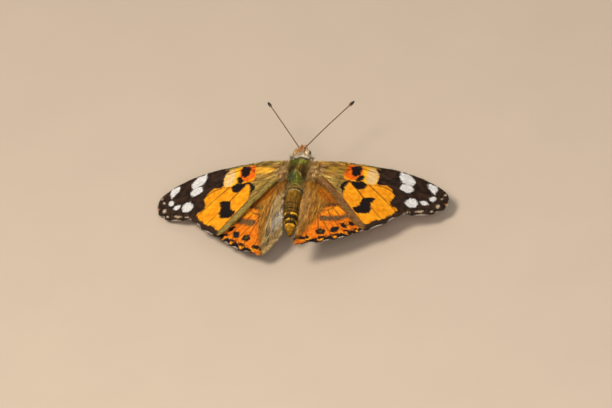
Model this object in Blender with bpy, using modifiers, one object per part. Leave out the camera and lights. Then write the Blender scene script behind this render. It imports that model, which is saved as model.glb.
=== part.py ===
"""A painted lady butterfly at life size, basking with its wings spread.

The butterfly faces +Y and stands on the plane z = 0 on its four walking legs.
Every body piece is set out in the body's own frame, whose origin is the middle
of the thorax, and that frame is then pitched and raised as one by an empty.
Sizes are in metres; MM turns a plain number of millimetres into metres.
"""
import math

import bmesh
import bpy
from mathutils import Matrix, Vector
from mathutils.geometry import delaunay_2d_cdt

MM = 0.001
GAP = 0.3 * MM
OBJECT_NAME = "painted_lady"

# The stance: where the middle of the thorax is held, and how far the head is raised
THORAX_HEIGHT = 7.4 * MM
THORAX_OFFSET = Vector((-0.27 * MM, 1.14 * MM))
BODY_PITCH = math.radians(8.4)

# Thorax: half sizes across, along and upright, and its middle in the body frame
THORAX_HALF = Vector((2.45, 4.4, 2.5)) * MM
THORAX_MIDDLE = Vector((0.0, -0.4, 0.0)) * MM

# Head, set against the front of the thorax
HEAD_HALF = Vector((1.1, 1.2, 1.3)) * MM
HEAD_MIDDLE = Vector((-0.4, 4.9, 0.6)) * MM
EYE_HALF = Vector((0.95, 0.95, 1.05)) * MM
EYE_OUT = 1.0 * MM
EYE_FORWARD = 0.2 * MM

# Antennae: a thin shaft that ends in a club
ANTENNA_LENGTH = 15.3 * MM
ANTENNA_SPREAD = math.radians(33.6)
ANTENNA_TURN = math.radians(2.0)
ANTENNA_RISE = math.radians(-0.9)
ANTENNA_RADIUS = 0.26 * MM
ANTENNA_ROOT = Vector((0.42, 0.75, 0.85)) * MM
SOCKET_LENGTH = 0.5 * MM
SOCKET_SWELL = 1.5
CLUB_LENGTH = 2.3 * MM
CLUB_RADIUS = 0.42 * MM
CLUB_PROFILE = ((0.35, 0.85), (0.6, 1.0), (0.85, 0.85), (0.96, 0.5), (1.0, 0.2))

# Mouth parts: the palps rise in front of the face, and the tongue is coiled below it.
# Places are measured from the middle of the head, those of the palp for the right side
PALP_RADIUS = 0.3 * MM
PALP_THINNING = 0.75
PALP_TIP_SHARE = 0.3
PALP_ROUTE = [
    Vector((0.45, 0.5, -0.8)) * MM,
    Vector((0.45, 1.4, -0.65)) * MM,
    Vector((0.47, 1.95, -0.2)) * MM,
    Vector((0.48, 2.35, 0.35)) * MM,
]
PROBOSCIS_RADIUS = 0.25 * MM
PROBOSCIS_THINNING = 0.3
PROBOSCIS_ROOT = Vector((0.0, -0.1, -0.8)) * MM
COIL_MIDDLE = Vector((0.0, 0.75, -2.5)) * MM
COIL_START = math.radians(150)
COIL_RADIUS = 1.0 * MM
COIL_PITCH = 0.62 * MM
COIL_TURNS = 1.1
COIL_STEPS = 14

# Abdomen: a tapered, ringed form that runs back from the thorax
ABDOMEN_START = -4.0 * MM
ABDOMEN_LENGTH = 11.9 * MM
ABDOMEN_RADIUS = 1.8 * MM
ABDOMEN_TIP_RADIUS = 0.5 * MM
ABDOMEN_SWELL_START = 0.28
ABDOMEN_SWELL_SPAN = 0.62
ABDOMEN_SWELL_POWER = 0.6
ABDOMEN_TIP_POWER = 6
ABDOMEN_RINGS = 8
ROWS_PER_RING = 3
ABDOMEN_RING_STEP = 0.07 * MM
ABDOMEN_SIDE_BEND = 0.75 * MM
ABDOMEN_DROP = 0.7 * MM
ABDOMEN_SIDE_START = -0.2 * MM
ABDOMEN_AROUND = 20
ABDOMEN_GAP = 1.2 * GAP

# Wings: plate thickness, root thickening and the veins that stand up from them
WING_THICKNESS = 0.5 * MM
ROOT_THICKENING = 0.5 * MM
ROOT_REACH = 2.4 * MM
VEIN_HALF_WIDTH = 0.3 * MM
VEIN_HEIGHT_ABOVE = 0.16 * MM
VEIN_HEIGHT_BELOW = 0.04 * MM
VEIN_END_INSET = 0.5 * MM
VEIN_FADE_SHARE = 0.12
VEIN_END_HEIGHT = 0.25
SCALLOP_DEPTH = 0.3 * MM
MARGIN_VEINS = ("radial", "media", "cubitus", "anal")
MARGIN_REACH = 1.2 * MM
WING_LATTICE = 2.6 * MM
LATTICE_CLEARANCE = 0.35 * WING_LATTICE
SHEET_TOLERANCE = 0.004 * MM
OUTLINE_STEPS = 3
VEIN_STEPS = 2

# Forewing: where it hinges, its plan from the front root corner round the tip to the
# rear root corner (x out along the span, y forward, in millimetres), and its main veins
FOREWING_BASE = Vector((2.4, 0.8, 1.6)) * MM
FOREWING_SPAN = 28.0 * MM
FOREWING_BEND = 1.98 * MM
FOREWING_PLAN = [
    (-0.9, 1.1), (1.2, 1.7), (4.8, 2.75), (8.0, 3.15), (11.6, 3.5), (16.2, 3.95), (19.6, 3.8),
    (22.6, 3.45), (25.6, 2.65), (28.0, 1.5), (29.15, -0.1), (29.0, -1.9), (27.9, -3.6),
    (26.2, -5.3), (24.0, -6.25), (21.6, -6.95), (20.1, -8.5), (18.9, -10.2), (17.4, -11.9),
    (16.0, -13.2), (15.0, -13.3), (13.0, -12.1), (9.8, -9.1), (6.6, -6.1), (3.6, -3.6),
    (1.0, -1.9), (-0.9, -1.3),
]
FOREWING_VEINS = {
    "subcosta": [(0.4, 1.2), (5.0, 2.4), (10.0, 2.95), (15.6, 3.6)],
    "radius": [(0.3, 0.5), (5.0, 1.7), (9.5, 2.2), (13.8, 2.1), (20.0, 2.6), (28.0, 0.9)],
    "media_1": [(13.8, 2.1), (16.5, 1.4), (19.6, 1.1), (23.4, -0.2), (28.6, -2.9)],
    "media_2": [(13.9, 0.2), (18.0, -0.6), (22.2, -2.2), (26.9, -4.8)],
    "cell_end": [(13.8, 2.1), (14.1, 0.7), (13.9, -1.0)],
    "cubitus": [(0.3, -0.3), (3.9, -0.7), (6.6, -1.2), (8.7, -1.7), (12.5, -1.5), (13.9, -1.0)],
    "media_3": [(13.9, -1.0), (16.8, -1.5), (20.0, -3.6), (23.0, -6.7)],
    "cubitus_1": [(12.5, -1.5), (14.3, -2.7), (18.0, -5.3), (20.8, -7.6)],
    "cubitus_2": [(8.7, -1.7), (12.3, -5.0), (15.6, -7.9), (18.9, -10.4)],
    "anal": [(0.5, -0.9), (4.6, -3.7), (9.2, -7.1), (13.0, -10.4), (15.6, -13.0)],
}
FOREWING_DROOP = {"right": 6.6, "left": 10.6}
FOREWING_SWEEP = {"right": 7.5, "left": 9.2}
FOREWING_TWIST = {"right": -4.0, "left": 1.1}

# Hindwing, told in the same way
HINDWING_BASE = Vector((2.3, -1.3, -0.3)) * MM
HINDWING_SPAN = 20.0 * MM
HINDWING_BEND = 1.87 * MM
HINDWING_OUTER = [
    (-0.5, 0.9), (2.0, 1.5), (6.0, 1.0), (10.0, -0.6), (13.4, -3.3), (15.2, -6.4), (15.3, -9.2),
    (14.2, -11.6), (12.5, -13.6), (10.4, -15.3), (8.2, -16.8), (5.6, -18.2),
]
HINDWING_INNER = {
    "right": [
        (3.6, -18.9), (2.4, -19.3), (1.6, -18.9), (1.3, -17.2), (1.3, -15.1), (0.9, -11.9),
        (0.35, -8.6), (0.0, -5.7), (-0.1, -3.8), (-0.5, -2.2),
    ],
    "left": [
        (3.0, -18.9), (1.2, -18.8), (0.35, -18.1), (-0.15, -17.0), (-0.9, -15.7), (-1.55, -14.4),
        (-1.75, -13.2), (-1.45, -11.6), (-0.85, -8.9), (-0.3, -6.0), (0.1, -4.0), (-0.5, -2.2),
    ],
}
HINDWING_VEINS = {
    "subcosta": [(0.6, 0.0), (6.0, -1.3), (11.0, -4.0), (15.3, -7.6)],
    "radial_sector": [(0.6, -0.4), (4.6, -4.4), (9.5, -8.0), (14.4, -11.2)],
    "media_1": [(4.6, -4.4), (6.4, -7.2), (10.2, -11.2), (12.9, -13.2)],
    "media_2": [(5.4, -8.1), (8.8, -12.4), (11.5, -14.5)],
    "cell_end": [(6.4, -7.2), (5.4, -8.1), (3.6, -8.6)],
    "cubitus": [(0.6, -0.9), (1.7, -4.5), (3.6, -8.6)],
    "media_3": [(3.6, -8.6), (7.0, -13.9), (9.1, -16.3)],
    "cubitus_1": [(3.6, -8.6), (4.9, -13.5), (6.1, -17.9)],
    "cubitus_2": [(1.9, -5.2), (2.7, -12.0), (3.3, -18.7)],
}
HINDWING_DROOP = {"right": 5.3, "left": 10.1}
HINDWING_SWEEP = {"right": 3.2, "left": -3.4}
HINDWING_TWIST = {"right": -8.8, "left": 1.1}

# Legs: hip in the body frame, then knee, ankle and toe above the floor, all for the
# right side, and measured from the point of the floor below the thorax
LEG_THIGH_RADIUS = 0.34 * MM
LEG_SHIN_RADIUS = 0.27 * MM
LEG_FOOT_RADIUS = 0.25 * MM
LEG_CORNER = 0.3 * MM
HEEL_REACH = 0.6 * MM
FOOT_SINK = 0.06 * MM
WALKING_LEGS = {
    "midleg": {
        "hip": Vector((1.0, 0.9, -1.9)) * MM,
        "knee": Vector((4.6, 2.2, 4.3)) * MM,
        "ankle": Vector((6.1, 3.4, 0.9)) * MM,
        "toe": Vector((8.0, 5.0, 0.0)) * MM,
    },
    "hindleg": {
        "hip": Vector((0.95, -2.3, -1.8)) * MM,
        "knee": Vector((4.2, -4.9, 3.8)) * MM,
        "ankle": Vector((5.3, -7.9, 0.9)) * MM,
        "toe": Vector((6.4, -10.2, 0.0)) * MM,
    },
}
FORELEG_ROUTE = [
    Vector((0.85, 2.2, -1.6)) * MM,
    Vector((1.15, 2.9, -2.9)) * MM,
    Vector((1.35, 3.9, -3.5)) * MM,
    Vector((1.35, 5.0, -3.2)) * MM,
]
FORELEG_RADIUS = 0.29 * MM
FORELEG_TIP_SHARE = 0.45

# How finely round forms are drawn, and how close points are when they are made one
TUBE_WELD = 0.0005 * MM
TURNED_WELD = 0.002 * MM
THORAX_FACETS = (28, 18)
HEAD_FACETS = (24, 14)
EYE_FACETS = (20, 12)
SMOOTH_ANGLE = math.radians(35)

# Finishes, as the eye first reads them
FINISHES = {
    "wing": ((0.85, 0.36, 0.05, 1.0), 0.75),
    "hair": ((0.32, 0.24, 0.09, 1.0), 0.9),
    "abdomen": ((0.45, 0.30, 0.08, 1.0), 0.8),
    "eye": ((0.25, 0.20, 0.13, 1.0), 0.25),
    "shaft": ((0.16, 0.10, 0.05, 1.0), 0.55),
    "leg": ((0.45, 0.34, 0.20, 1.0), 0.6),
}
SIDES = {"right": 1.0, "left": -1.0}


def clear_scene():
    """Take every object out of the open scene."""
    for obj in list(bpy.data.objects):
        bpy.data.objects.remove(obj, do_unlink=True)


def make_finish(name):
    """Return the material of one finish."""
    colour, roughness = FINISHES[name]
    finish = bpy.data.materials.new(name)
    finish.use_nodes = True
    shader = finish.node_tree.nodes["Principled BSDF"]
    shader.inputs["Base Color"].default_value = colour
    shader.inputs["Roughness"].default_value = roughness
    shader.inputs["Metallic"].default_value = 0.0
    return finish


def new_collection(name):
    """Return a new collection, linked to the scene."""
    collection = bpy.data.collections.new(name)
    bpy.context.scene.collection.children.link(collection)
    return collection


def mesh_object(name, bm, collection, parent=None):
    """Turn a bmesh into a named object, hung from an empty where one is given."""
    mesh = bpy.data.meshes.new(name)
    bmesh.ops.recalc_face_normals(bm, faces=bm.faces)
    bm.to_mesh(mesh)
    bm.free()
    obj = bpy.data.objects.new(name, mesh)
    collection.objects.link(obj)
    obj.parent = parent
    return obj


def evaluated_mesh(obj):
    """Return an object's mesh with its modifiers, or its curve bevel, worked in."""
    bpy.context.view_layer.update()
    graph = bpy.context.evaluated_depsgraph_get()
    return bpy.data.meshes.new_from_object(obj.evaluated_get(graph))


def smooth_line(points, steps):
    """Return a Catmull-Rom line through the points, with a few steps to each span."""
    ends = [points[0] * 2 - points[1]] + list(points) + [points[-1] * 2 - points[-2]]
    line = []
    for before, start, end, after in zip(ends, ends[1:], ends[2:], ends[3:]):
        for step in range(steps):
            t = step / steps
            line.append(0.5 * (
                2 * start + (end - before) * t
                + (2 * before - 5 * start + 4 * end - after) * t * t
                + (3 * start - before - 3 * end + after) * t ** 3))
    line.append(points[-1].copy())
    return line


def turned_corners(points, reach):
    """Return the route with each corner replaced by three points of a short bend."""
    route = [points[0]]
    for before, corner, after in zip(points, points[1:], points[2:]):
        start = corner + (before - corner).normalized() * reach
        end = corner + (after - corner).normalized() * reach
        route += [start, start * 0.25 + corner * 0.5 + end * 0.25, end]
    route.append(points[-1])
    return route


def tube(name, route, radii, collection, parent=None):
    """Return a closed tube along a route, with a radius at each of its points."""
    curve = bpy.data.curves.new(name, "CURVE")
    curve.dimensions = "3D"
    curve.bevel_depth = 1.0
    curve.bevel_resolution = 2
    curve.use_fill_caps = True
    spline = curve.splines.new("POLY")
    spline.points.add(len(route) - 1)
    for knot, place, radius in zip(spline.points, route, radii):
        knot.co = (*place, 1.0)
        knot.radius = radius
    guide = bpy.data.objects.new(name, curve)
    collection.objects.link(guide)
    bm = bmesh.new()
    mesh = evaluated_mesh(guide)
    bm.from_mesh(mesh)
    bpy.data.meshes.remove(mesh)
    bpy.data.objects.remove(guide, do_unlink=True)
    bpy.data.curves.remove(curve)
    bmesh.ops.remove_doubles(bm, verts=bm.verts, dist=TUBE_WELD)
    return mesh_object(name, bm, collection, parent)


def ball(name, half, middle, facets, collection, parent, grow=0.0):
    """Return an ellipsoid whose poles lie along the body, grown by an even margin."""
    around, rings = facets
    bm = bmesh.new()
    bmesh.ops.create_uvsphere(bm, u_segments=around, v_segments=rings, radius=1.0)
    bmesh.ops.rotate(bm, verts=bm.verts, matrix=Matrix.Rotation(math.radians(90), 3, "X"))
    bmesh.ops.scale(bm, verts=bm.verts, vec=half + Vector((grow, grow, grow)))
    bmesh.ops.translate(bm, verts=bm.verts, vec=middle)
    return mesh_object(name, bm, collection, parent)


def abdomen_radius(t):
    """Return the abdomen's radius at a share t of its length from the thorax."""
    phase = min(1.0, ABDOMEN_SWELL_START + ABDOMEN_SWELL_SPAN * t)
    swell = math.sin(math.pi * phase) ** ABDOMEN_SWELL_POWER
    tip = math.sqrt(max(0.0, 1.0 - t ** ABDOMEN_TIP_POWER))
    return (ABDOMEN_TIP_RADIUS + (ABDOMEN_RADIUS - ABDOMEN_TIP_RADIUS) * swell) * tip


def abdomen(name, collection, parent, grow=0.0, ringed=True):
    """Return the ringed abdomen, turned about its length and bent to one side."""
    rows = ABDOMEN_RINGS * ROWS_PER_RING
    curve_points = [(0.0, 0.0)]
    for row in range(rows + 1):
        t = row / rows
        step = ABDOMEN_RING_STEP * ((row % ROWS_PER_RING) - 1) if ringed and 0 < row < rows else 0.0
        curve_points.append((max(0.0, abdomen_radius(t) + step) + grow * (t < 1.0), t))
    if grow:
        curve_points.append((0.0, 1.0 + grow / ABDOMEN_LENGTH))
    bm = bmesh.new()
    last = None
    for radius, t in curve_points:
        vert = bm.verts.new((radius, -t * ABDOMEN_LENGTH, 0.0))
        if last:
            bm.edges.new((last, vert))
        last = vert
    mesh = bpy.data.meshes.new(name)
    bm.to_mesh(mesh)
    bm.free()
    profile = bpy.data.objects.new(name, mesh)
    collection.objects.link(profile)
    turn = profile.modifiers.new("turn", "SCREW")
    turn.axis = "Y"
    turn.steps = ABDOMEN_AROUND
    turn.render_steps = ABDOMEN_AROUND
    turn.use_merge_vertices = True
    turn.merge_threshold = TURNED_WELD
    bm = bmesh.new()
    turned = evaluated_mesh(profile)
    bm.from_mesh(turned)
    bpy.data.meshes.remove(turned)
    bpy.data.objects.remove(profile, do_unlink=True)
    bmesh.ops.remove_doubles(bm, verts=bm.verts, dist=TURNED_WELD)
    for vert in bm.verts:
        t = -vert.co.y / ABDOMEN_LENGTH
        vert.co.x += ABDOMEN_SIDE_START + ABDOMEN_SIDE_BEND * t * t
        vert.co.z -= ABDOMEN_DROP * t * t
        vert.co.y += ABDOMEN_START
    return mesh_object(name, bm, collection, parent)


def keep_largest(obj):
    """Leave only the largest closed surface of an object's mesh."""
    bm = bmesh.new()
    bm.from_mesh(obj.data)
    shells = []
    left = set(bm.verts)
    while left:
        shell = {left.pop()}
        front = list(shell)
        while front:
            vert = front.pop()
            for edge in vert.link_edges:
                other = edge.other_vert(vert)
                if other in left:
                    left.discard(other)
                    shell.add(other)
                    front.append(other)
        shells.append(shell)
    shells.sort(key=len)
    loose = [vert for shell in shells[:-1] for vert in shell]
    bmesh.ops.delete(bm, geom=loose, context="VERTS")
    bm.to_mesh(obj.data)
    bm.free()


def cut_clear(obj, cutters):
    """Cut an object back by each cutter, and keep what is left as one closed body."""
    for cutter in cutters:
        cut = obj.modifiers.new("clear_of_" + cutter.name, "BOOLEAN")
        cut.operation = "DIFFERENCE"
        cut.solver = "EXACT"
        cut.object = cutter
    mesh = evaluated_mesh(obj)
    obj.modifiers.clear()
    old = obj.data
    obj.data = mesh
    bpy.data.meshes.remove(old)
    mesh.name = obj.name
    keep_largest(obj)


def dress(obj, finish):
    """Give an object its material and smooth shading."""
    obj.data.materials.clear()
    obj.data.materials.append(finish)
    obj.data.shade_smooth()
    obj.data.set_sharp_from_angle(angle=SMOOTH_ANGLE)


def distance_to_line(point, line):
    """Return how far a plan point lies from a line, and how far along it, as a share."""
    best = (1.0e9, 0.0)
    spans = len(line) - 1
    for index in range(spans):
        start = line[index]
        along = line[index + 1] - start
        t = max(0.0, min(1.0, (point - start).dot(along) / along.length_squared))
        away = (point - start - along * t).length
        if away < best[0]:
            best = (away, (index + t) / spans)
    return best


def vein_relief(point, lines):
    """Return the height of the vein ridge at a plan point, from 0 to 1."""
    relief = 0.0
    for line in lines:
        away, share = distance_to_line(point, line)
        fade = min(1.0, (1.0 - share) / VEIN_FADE_SHARE + VEIN_END_HEIGHT)
        relief = max(relief, (1.0 - away / VEIN_HALF_WIDTH) * fade)
    return relief


def inside(point, outline):
    """Tell whether a plan point lies inside the outline."""
    within = False
    for start, end in zip(outline, outline[1:] + outline[:1]):
        if (start.y > point.y) != (end.y > point.y):
            cross = start.x + (point.y - start.y) / (end.y - start.y) * (end.x - start.x)
            if point.x < cross:
                within = not within
    return within


def flank(line, offset):
    """Return a line's copy moved sideways by an even offset."""
    moved = []
    for index, point in enumerate(line):
        before = line[max(0, index - 1)]
        after = line[min(len(line) - 1, index + 1)]
        along = (after - before).normalized()
        moved.append(point + Vector((-along.y, along.x)) * offset)
    return moved


def scalloped(outline, ends):
    """Return the outline drawn in a little between neighbouring vein ends on the margin."""
    marks = []
    for end in ends:
        nearest = min(range(len(outline)), key=lambda i: (outline[i] - end).length)
        if (outline[nearest] - end).length < MARGIN_REACH:
            marks.append(nearest)
    marks = sorted(set(marks))
    drawn = [point.copy() for point in outline]
    for first, last in zip(marks, marks[1:]):
        for index in range(first + 1, last):
            along = (outline[index + 1] - outline[index - 1]).normalized()
            share = (index - first) / (last - first)
            inward = Vector((along.y, -along.x))
            drawn[index] += inward * SCALLOP_DEPTH * math.sin(math.pi * share)
    return drawn


def wing_sheet(outline, lines):
    """Return plan points and triangles that follow the outline and every vein."""
    points = list(outline)
    edges = []
    for line in lines:
        for offset in (0.0, VEIN_HALF_WIDTH, -VEIN_HALF_WIDTH):
            moved = [p for p in flank(line, offset) if inside(p, outline)]
            first = len(points)
            points += moved
            edges += [(first + i, first + i + 1) for i in range(len(moved) - 1)]
    closed = outline + outline[:1]
    spans = []
    for axis in (0, 1):
        along = [p[axis] / WING_LATTICE for p in outline]
        spans.append(range(math.floor(min(along)), math.ceil(max(along)) + 1))
    for column in spans[0]:
        for row in spans[1]:
            spot = Vector(((column + 0.5 * (row % 2)) * WING_LATTICE, row * WING_LATTICE))
            clear = min(distance_to_line(spot, line)[0] for line in lines + [closed])
            if clear > LATTICE_CLEARANCE and inside(spot, outline):
                points.append(spot)
    in_mm = [p / MM for p in points]
    border = [list(range(len(outline)))]
    found = delaunay_2d_cdt(in_mm, edges, border, 1, SHEET_TOLERANCE / MM)
    return [p * MM for p in found[0]], found[2]


def wing_plate(name, side, plan, veins, span, bend, collection, parent):
    """Return a wing's closed plate in its own frame, with its veins raised on it."""
    corners = [Vector(p) * MM for p in plan]
    ends = [Vector(veins[key][-1]) * MM for key in veins if key.startswith(MARGIN_VEINS)]
    outline = scalloped(smooth_line(corners, OUTLINE_STEPS), ends)
    lines = []
    for route in veins.values():
        line = smooth_line([Vector(p) * MM for p in route], VEIN_STEPS)
        reach = (line[-1] - line[-2]).normalized() * VEIN_END_INSET
        line[-1] = line[-1] - reach
        lines.append(line)
    places, triangles = wing_sheet(outline, lines)
    bm = bmesh.new()
    lift = {}
    for place in places:
        relief = vein_relief(place, lines)
        away = place.length
        root = max(0.0, 1.0 - away / ROOT_REACH) ** 0.5 * ROOT_THICKENING
        middle = -bend * (place.x / span) ** 2
        below = WING_THICKNESS / 2 + root / 2 + relief * VEIN_HEIGHT_BELOW
        above = WING_THICKNESS / 2 + root / 2 + relief * VEIN_HEIGHT_ABOVE
        vert = bm.verts.new((place.x, place.y, middle - below))
        lift[vert] = above + below
    bm.verts.ensure_lookup_table()
    for corner_a, corner_b, corner_c in triangles:
        bm.faces.new((bm.verts[corner_a], bm.verts[corner_b], bm.verts[corner_c]))
    bmesh.ops.delete(bm, geom=[v for v in bm.verts if not v.link_faces], context="VERTS")
    heights = [lift[v] for v in bm.verts]
    bm.verts.index_update()
    layer = bm.verts.layers.float.new("lift")
    for vert, height in zip(bm.verts, heights):
        vert[layer] = height
    grown = bmesh.ops.extrude_face_region(bm, geom=bm.faces[:], use_keep_orig=True)
    for item in grown["geom"]:
        if isinstance(item, bmesh.types.BMVert):
            item.co.z += item[layer]
    bmesh.ops.scale(bm, verts=bm.verts, vec=Vector((side, 1.0, 1.0)))
    return mesh_object(name, bm, collection, parent)


def make_wing(kind, label, side, base, plan, veins, span, bend, angles, collection, parent):
    """Return one wing, hinged on its base and turned as it is held."""
    name = kind + "_" + label
    wing = wing_plate(name, side, plan, veins, span, bend, collection, parent)
    twist, droop, sweep = (math.radians(angle) for angle in angles)
    wing.location = (side * base.x, base.y, base.z)
    wing.rotation_euler = (twist, side * droop, -side * sweep)
    return wing


def make_antenna(label, side, collection, parent):
    """Return one antenna, from inside the head out to the end of its club."""
    root = HEAD_MIDDLE + Vector((side * ANTENNA_ROOT.x, ANTENNA_ROOT.y, ANTENNA_ROOT.z))
    bearing = side * ANTENNA_SPREAD - ANTENNA_TURN
    heading = Vector((
        math.sin(bearing) * math.cos(ANTENNA_RISE),
        math.cos(bearing) * math.cos(ANTENNA_RISE),
        math.sin(ANTENNA_RISE)))
    stations = [
        (0.0, SOCKET_SWELL), (SOCKET_LENGTH, SOCKET_SWELL), (SOCKET_LENGTH * 1.8, 1.0),
        (ANTENNA_LENGTH / 2, 1.0), (ANTENNA_LENGTH - CLUB_LENGTH, 1.0)]
    route = [root + heading * along for along, _ in stations]
    radii = [ANTENNA_RADIUS * share for _, share in stations]
    for share, swell in CLUB_PROFILE:
        route.append(root + heading * (ANTENNA_LENGTH - CLUB_LENGTH * (1.0 - share)))
        radii.append(CLUB_RADIUS * swell)
    return tube("antenna_" + label, route, radii, collection, parent)


def make_palp(label, side, collection, parent):
    """Return one labial palp, curving up in front of the face."""
    knots = [HEAD_MIDDLE + Vector((side * p.x, p.y, p.z)) for p in PALP_ROUTE]
    route = smooth_line(knots, 3)
    last = len(route) - 1
    radii = [PALP_RADIUS * (1.0 - PALP_THINNING * max(0.0, i / last - 0.5)) for i in range(last + 1)]
    radii[-1] = PALP_RADIUS * PALP_TIP_SHARE
    return tube("palp_" + label, route, radii, collection, parent)


def make_proboscis(collection, parent):
    """Return the coiled tongue, which hangs under the head."""
    middle = HEAD_MIDDLE + COIL_MIDDLE
    route = [HEAD_MIDDLE + PROBOSCIS_ROOT]
    for step in range(COIL_STEPS + 1):
        share = step / COIL_STEPS
        turn = COIL_START + share * COIL_TURNS * 2 * math.pi
        radius = COIL_RADIUS - COIL_PITCH * COIL_TURNS * share
        route.append(middle + Vector((0.0, math.cos(turn), math.sin(turn))) * radius)
    last = len(route) - 1
    radii = [PROBOSCIS_RADIUS * (1.0 - PROBOSCIS_THINNING * i / last) for i in range(last + 1)]
    return tube("proboscis", route, radii, collection, parent)


def make_walking_leg(kind, label, side, stance, collection):
    """Return one walking leg, cut off level where its foot meets the floor."""
    sizes = WALKING_LEGS[kind]
    below = Vector((THORAX_OFFSET.x, THORAX_OFFSET.y, 0.0))
    mirror = Vector((side, 1.0, 1.0))
    hip = stance @ (sizes["hip"] * mirror)
    knee, ankle, toe = (below + sizes[key] * mirror for key in ("knee", "ankle", "toe"))
    sole = LEG_FOOT_RADIUS - FOOT_SINK
    heading = Vector((toe.x - ankle.x, toe.y - ankle.y, 0.0)).normalized()
    heel = ankle + heading * HEEL_REACH
    heel.z = sole
    toe.z = sole
    knots = [hip, hip.lerp(knee, 0.5), knee, knee.lerp(ankle, 0.5), ankle, heel, toe]
    route = turned_corners(knots, LEG_CORNER)
    radii = []
    for point in route:
        if (point - hip).length <= (knee - hip).length:
            radii.append(LEG_THIGH_RADIUS)
        elif point.z > ankle.z:
            radii.append(LEG_SHIN_RADIUS)
        else:
            radii.append(LEG_FOOT_RADIUS)
    leg = tube(kind + "_" + label, route, radii, collection)
    bm = bmesh.new()
    bm.from_mesh(leg.data)
    everything = bm.verts[:] + bm.edges[:] + bm.faces[:]
    bmesh.ops.bisect_plane(
        bm, geom=everything, dist=TUBE_WELD, plane_co=(0.0, 0.0, 0.0),
        plane_no=(0.0, 0.0, -1.0), clear_outer=True)
    rim = [edge for edge in bm.edges if edge.is_boundary]
    bmesh.ops.holes_fill(bm, edges=rim)
    bmesh.ops.recalc_face_normals(bm, faces=bm.faces)
    bm.to_mesh(leg.data)
    bm.free()
    return leg


def make_foreleg(label, side, collection, parent):
    """Return one of the short forelegs, folded up under the front of the thorax."""
    knots = [Vector((side * p.x, p.y, p.z)) for p in FORELEG_ROUTE]
    route = smooth_line(knots, 3)
    radii = [FORELEG_RADIUS] * len(route)
    radii[-1] = FORELEG_RADIUS * FORELEG_TIP_SHARE
    return tube("foreleg_" + label, route, radii, collection, parent)


def build():
    """Build the whole butterfly."""
    clear_scene()
    parts = new_collection(OBJECT_NAME)
    cutters = new_collection("cutters")
    finishes = {name: make_finish(name) for name in FINISHES}

    stance_empty = bpy.data.objects.new("stance", None)
    parts.objects.link(stance_empty)
    stance_empty.location = (THORAX_OFFSET.x, THORAX_OFFSET.y, THORAX_HEIGHT)
    stance_empty.rotation_euler = (BODY_PITCH, 0.0, 0.0)
    bpy.context.view_layer.update()
    stance = stance_empty.matrix_world.copy()

    thorax = ball("thorax", THORAX_HALF, THORAX_MIDDLE, THORAX_FACETS, parts, stance_empty)
    clear_thorax = ball(
        "clear_thorax", THORAX_HALF, THORAX_MIDDLE, THORAX_FACETS, cutters, stance_empty, GAP)
    head = ball("head", HEAD_HALF, HEAD_MIDDLE, HEAD_FACETS, parts, stance_empty)
    clear_head = ball(
        "clear_head", HEAD_HALF, HEAD_MIDDLE, HEAD_FACETS, cutters, stance_empty, GAP)
    rear = abdomen("abdomen", parts, stance_empty)
    clear_rear = abdomen("clear_abdomen", cutters, stance_empty, ABDOMEN_GAP, ringed=False)

    cut_clear(head, [clear_thorax])
    cut_clear(rear, [clear_thorax])
    dress(thorax, finishes["hair"])
    dress(head, finishes["hair"])
    dress(rear, finishes["abdomen"])

    proboscis = make_proboscis(parts, stance_empty)
    cut_clear(proboscis, [clear_head])
    dress(proboscis, finishes["shaft"])

    for label, side in SIDES.items():
        eye_middle = HEAD_MIDDLE + Vector((side * EYE_OUT, EYE_FORWARD, 0.0))
        eye = ball("eye_" + label, EYE_HALF, eye_middle, EYE_FACETS, parts, stance_empty)
        cut_clear(eye, [clear_head, clear_thorax])
        dress(eye, finishes["eye"])

        antenna = make_antenna(label, side, parts, stance_empty)
        cut_clear(antenna, [clear_head])
        dress(antenna, finishes["shaft"])

        palp = make_palp(label, side, parts, stance_empty)
        cut_clear(palp, [clear_head])
        dress(palp, finishes["hair"])

        forewing = make_wing(
            "forewing", label, side, FOREWING_BASE, FOREWING_PLAN, FOREWING_VEINS,
            FOREWING_SPAN, FOREWING_BEND,
            (FOREWING_TWIST[label], FOREWING_DROOP[label], FOREWING_SWEEP[label]),
            parts, stance_empty)
        cut_clear(forewing, [clear_thorax])
        dress(forewing, finishes["wing"])

        hindwing = make_wing(
            "hindwing", label, side, HINDWING_BASE, HINDWING_OUTER + HINDWING_INNER[label],
            HINDWING_VEINS, HINDWING_SPAN, HINDWING_BEND,
            (HINDWING_TWIST[label], HINDWING_DROOP[label], HINDWING_SWEEP[label]),
            parts, stance_empty)
        cut_clear(hindwing, [clear_thorax, clear_rear])
        dress(hindwing, finishes["wing"])

        foreleg = make_foreleg(label, side, parts, stance_empty)
        cut_clear(foreleg, [clear_thorax])
        dress(foreleg, finishes["leg"])

        for kind in WALKING_LEGS:
            leg = make_walking_leg(kind, label, side, stance, parts)
            cut_clear(leg, [clear_thorax])
            dress(leg, finishes["leg"])

    for cutter in list(cutters.objects):
        bpy.data.objects.remove(cutter, do_unlink=True)
    bpy.data.collections.remove(cutters)


build()
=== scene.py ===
"""Looks of a life-size painted lady butterfly, basking with its wings spread.

The body faces +Y and stands on the plane z = 0. Every piece is set out in the frame of
the body, in millimetres, with its origin in the middle of the thorax, and is then put
in the world by Stance. Wing markings are drawn in each wing's own plan: x out along the
span, y forward, in millimetres from the hinge.
"""

import logging
import math
from dataclasses import dataclass, field
from enum import Enum
from typing import Callable, Iterable

import bmesh
import bpy
import numpy as np
from bpy.types import ID, Material, Mesh, Node, NodeSocket, NodeTree, Object
from mathutils import Matrix, Vector


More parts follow.
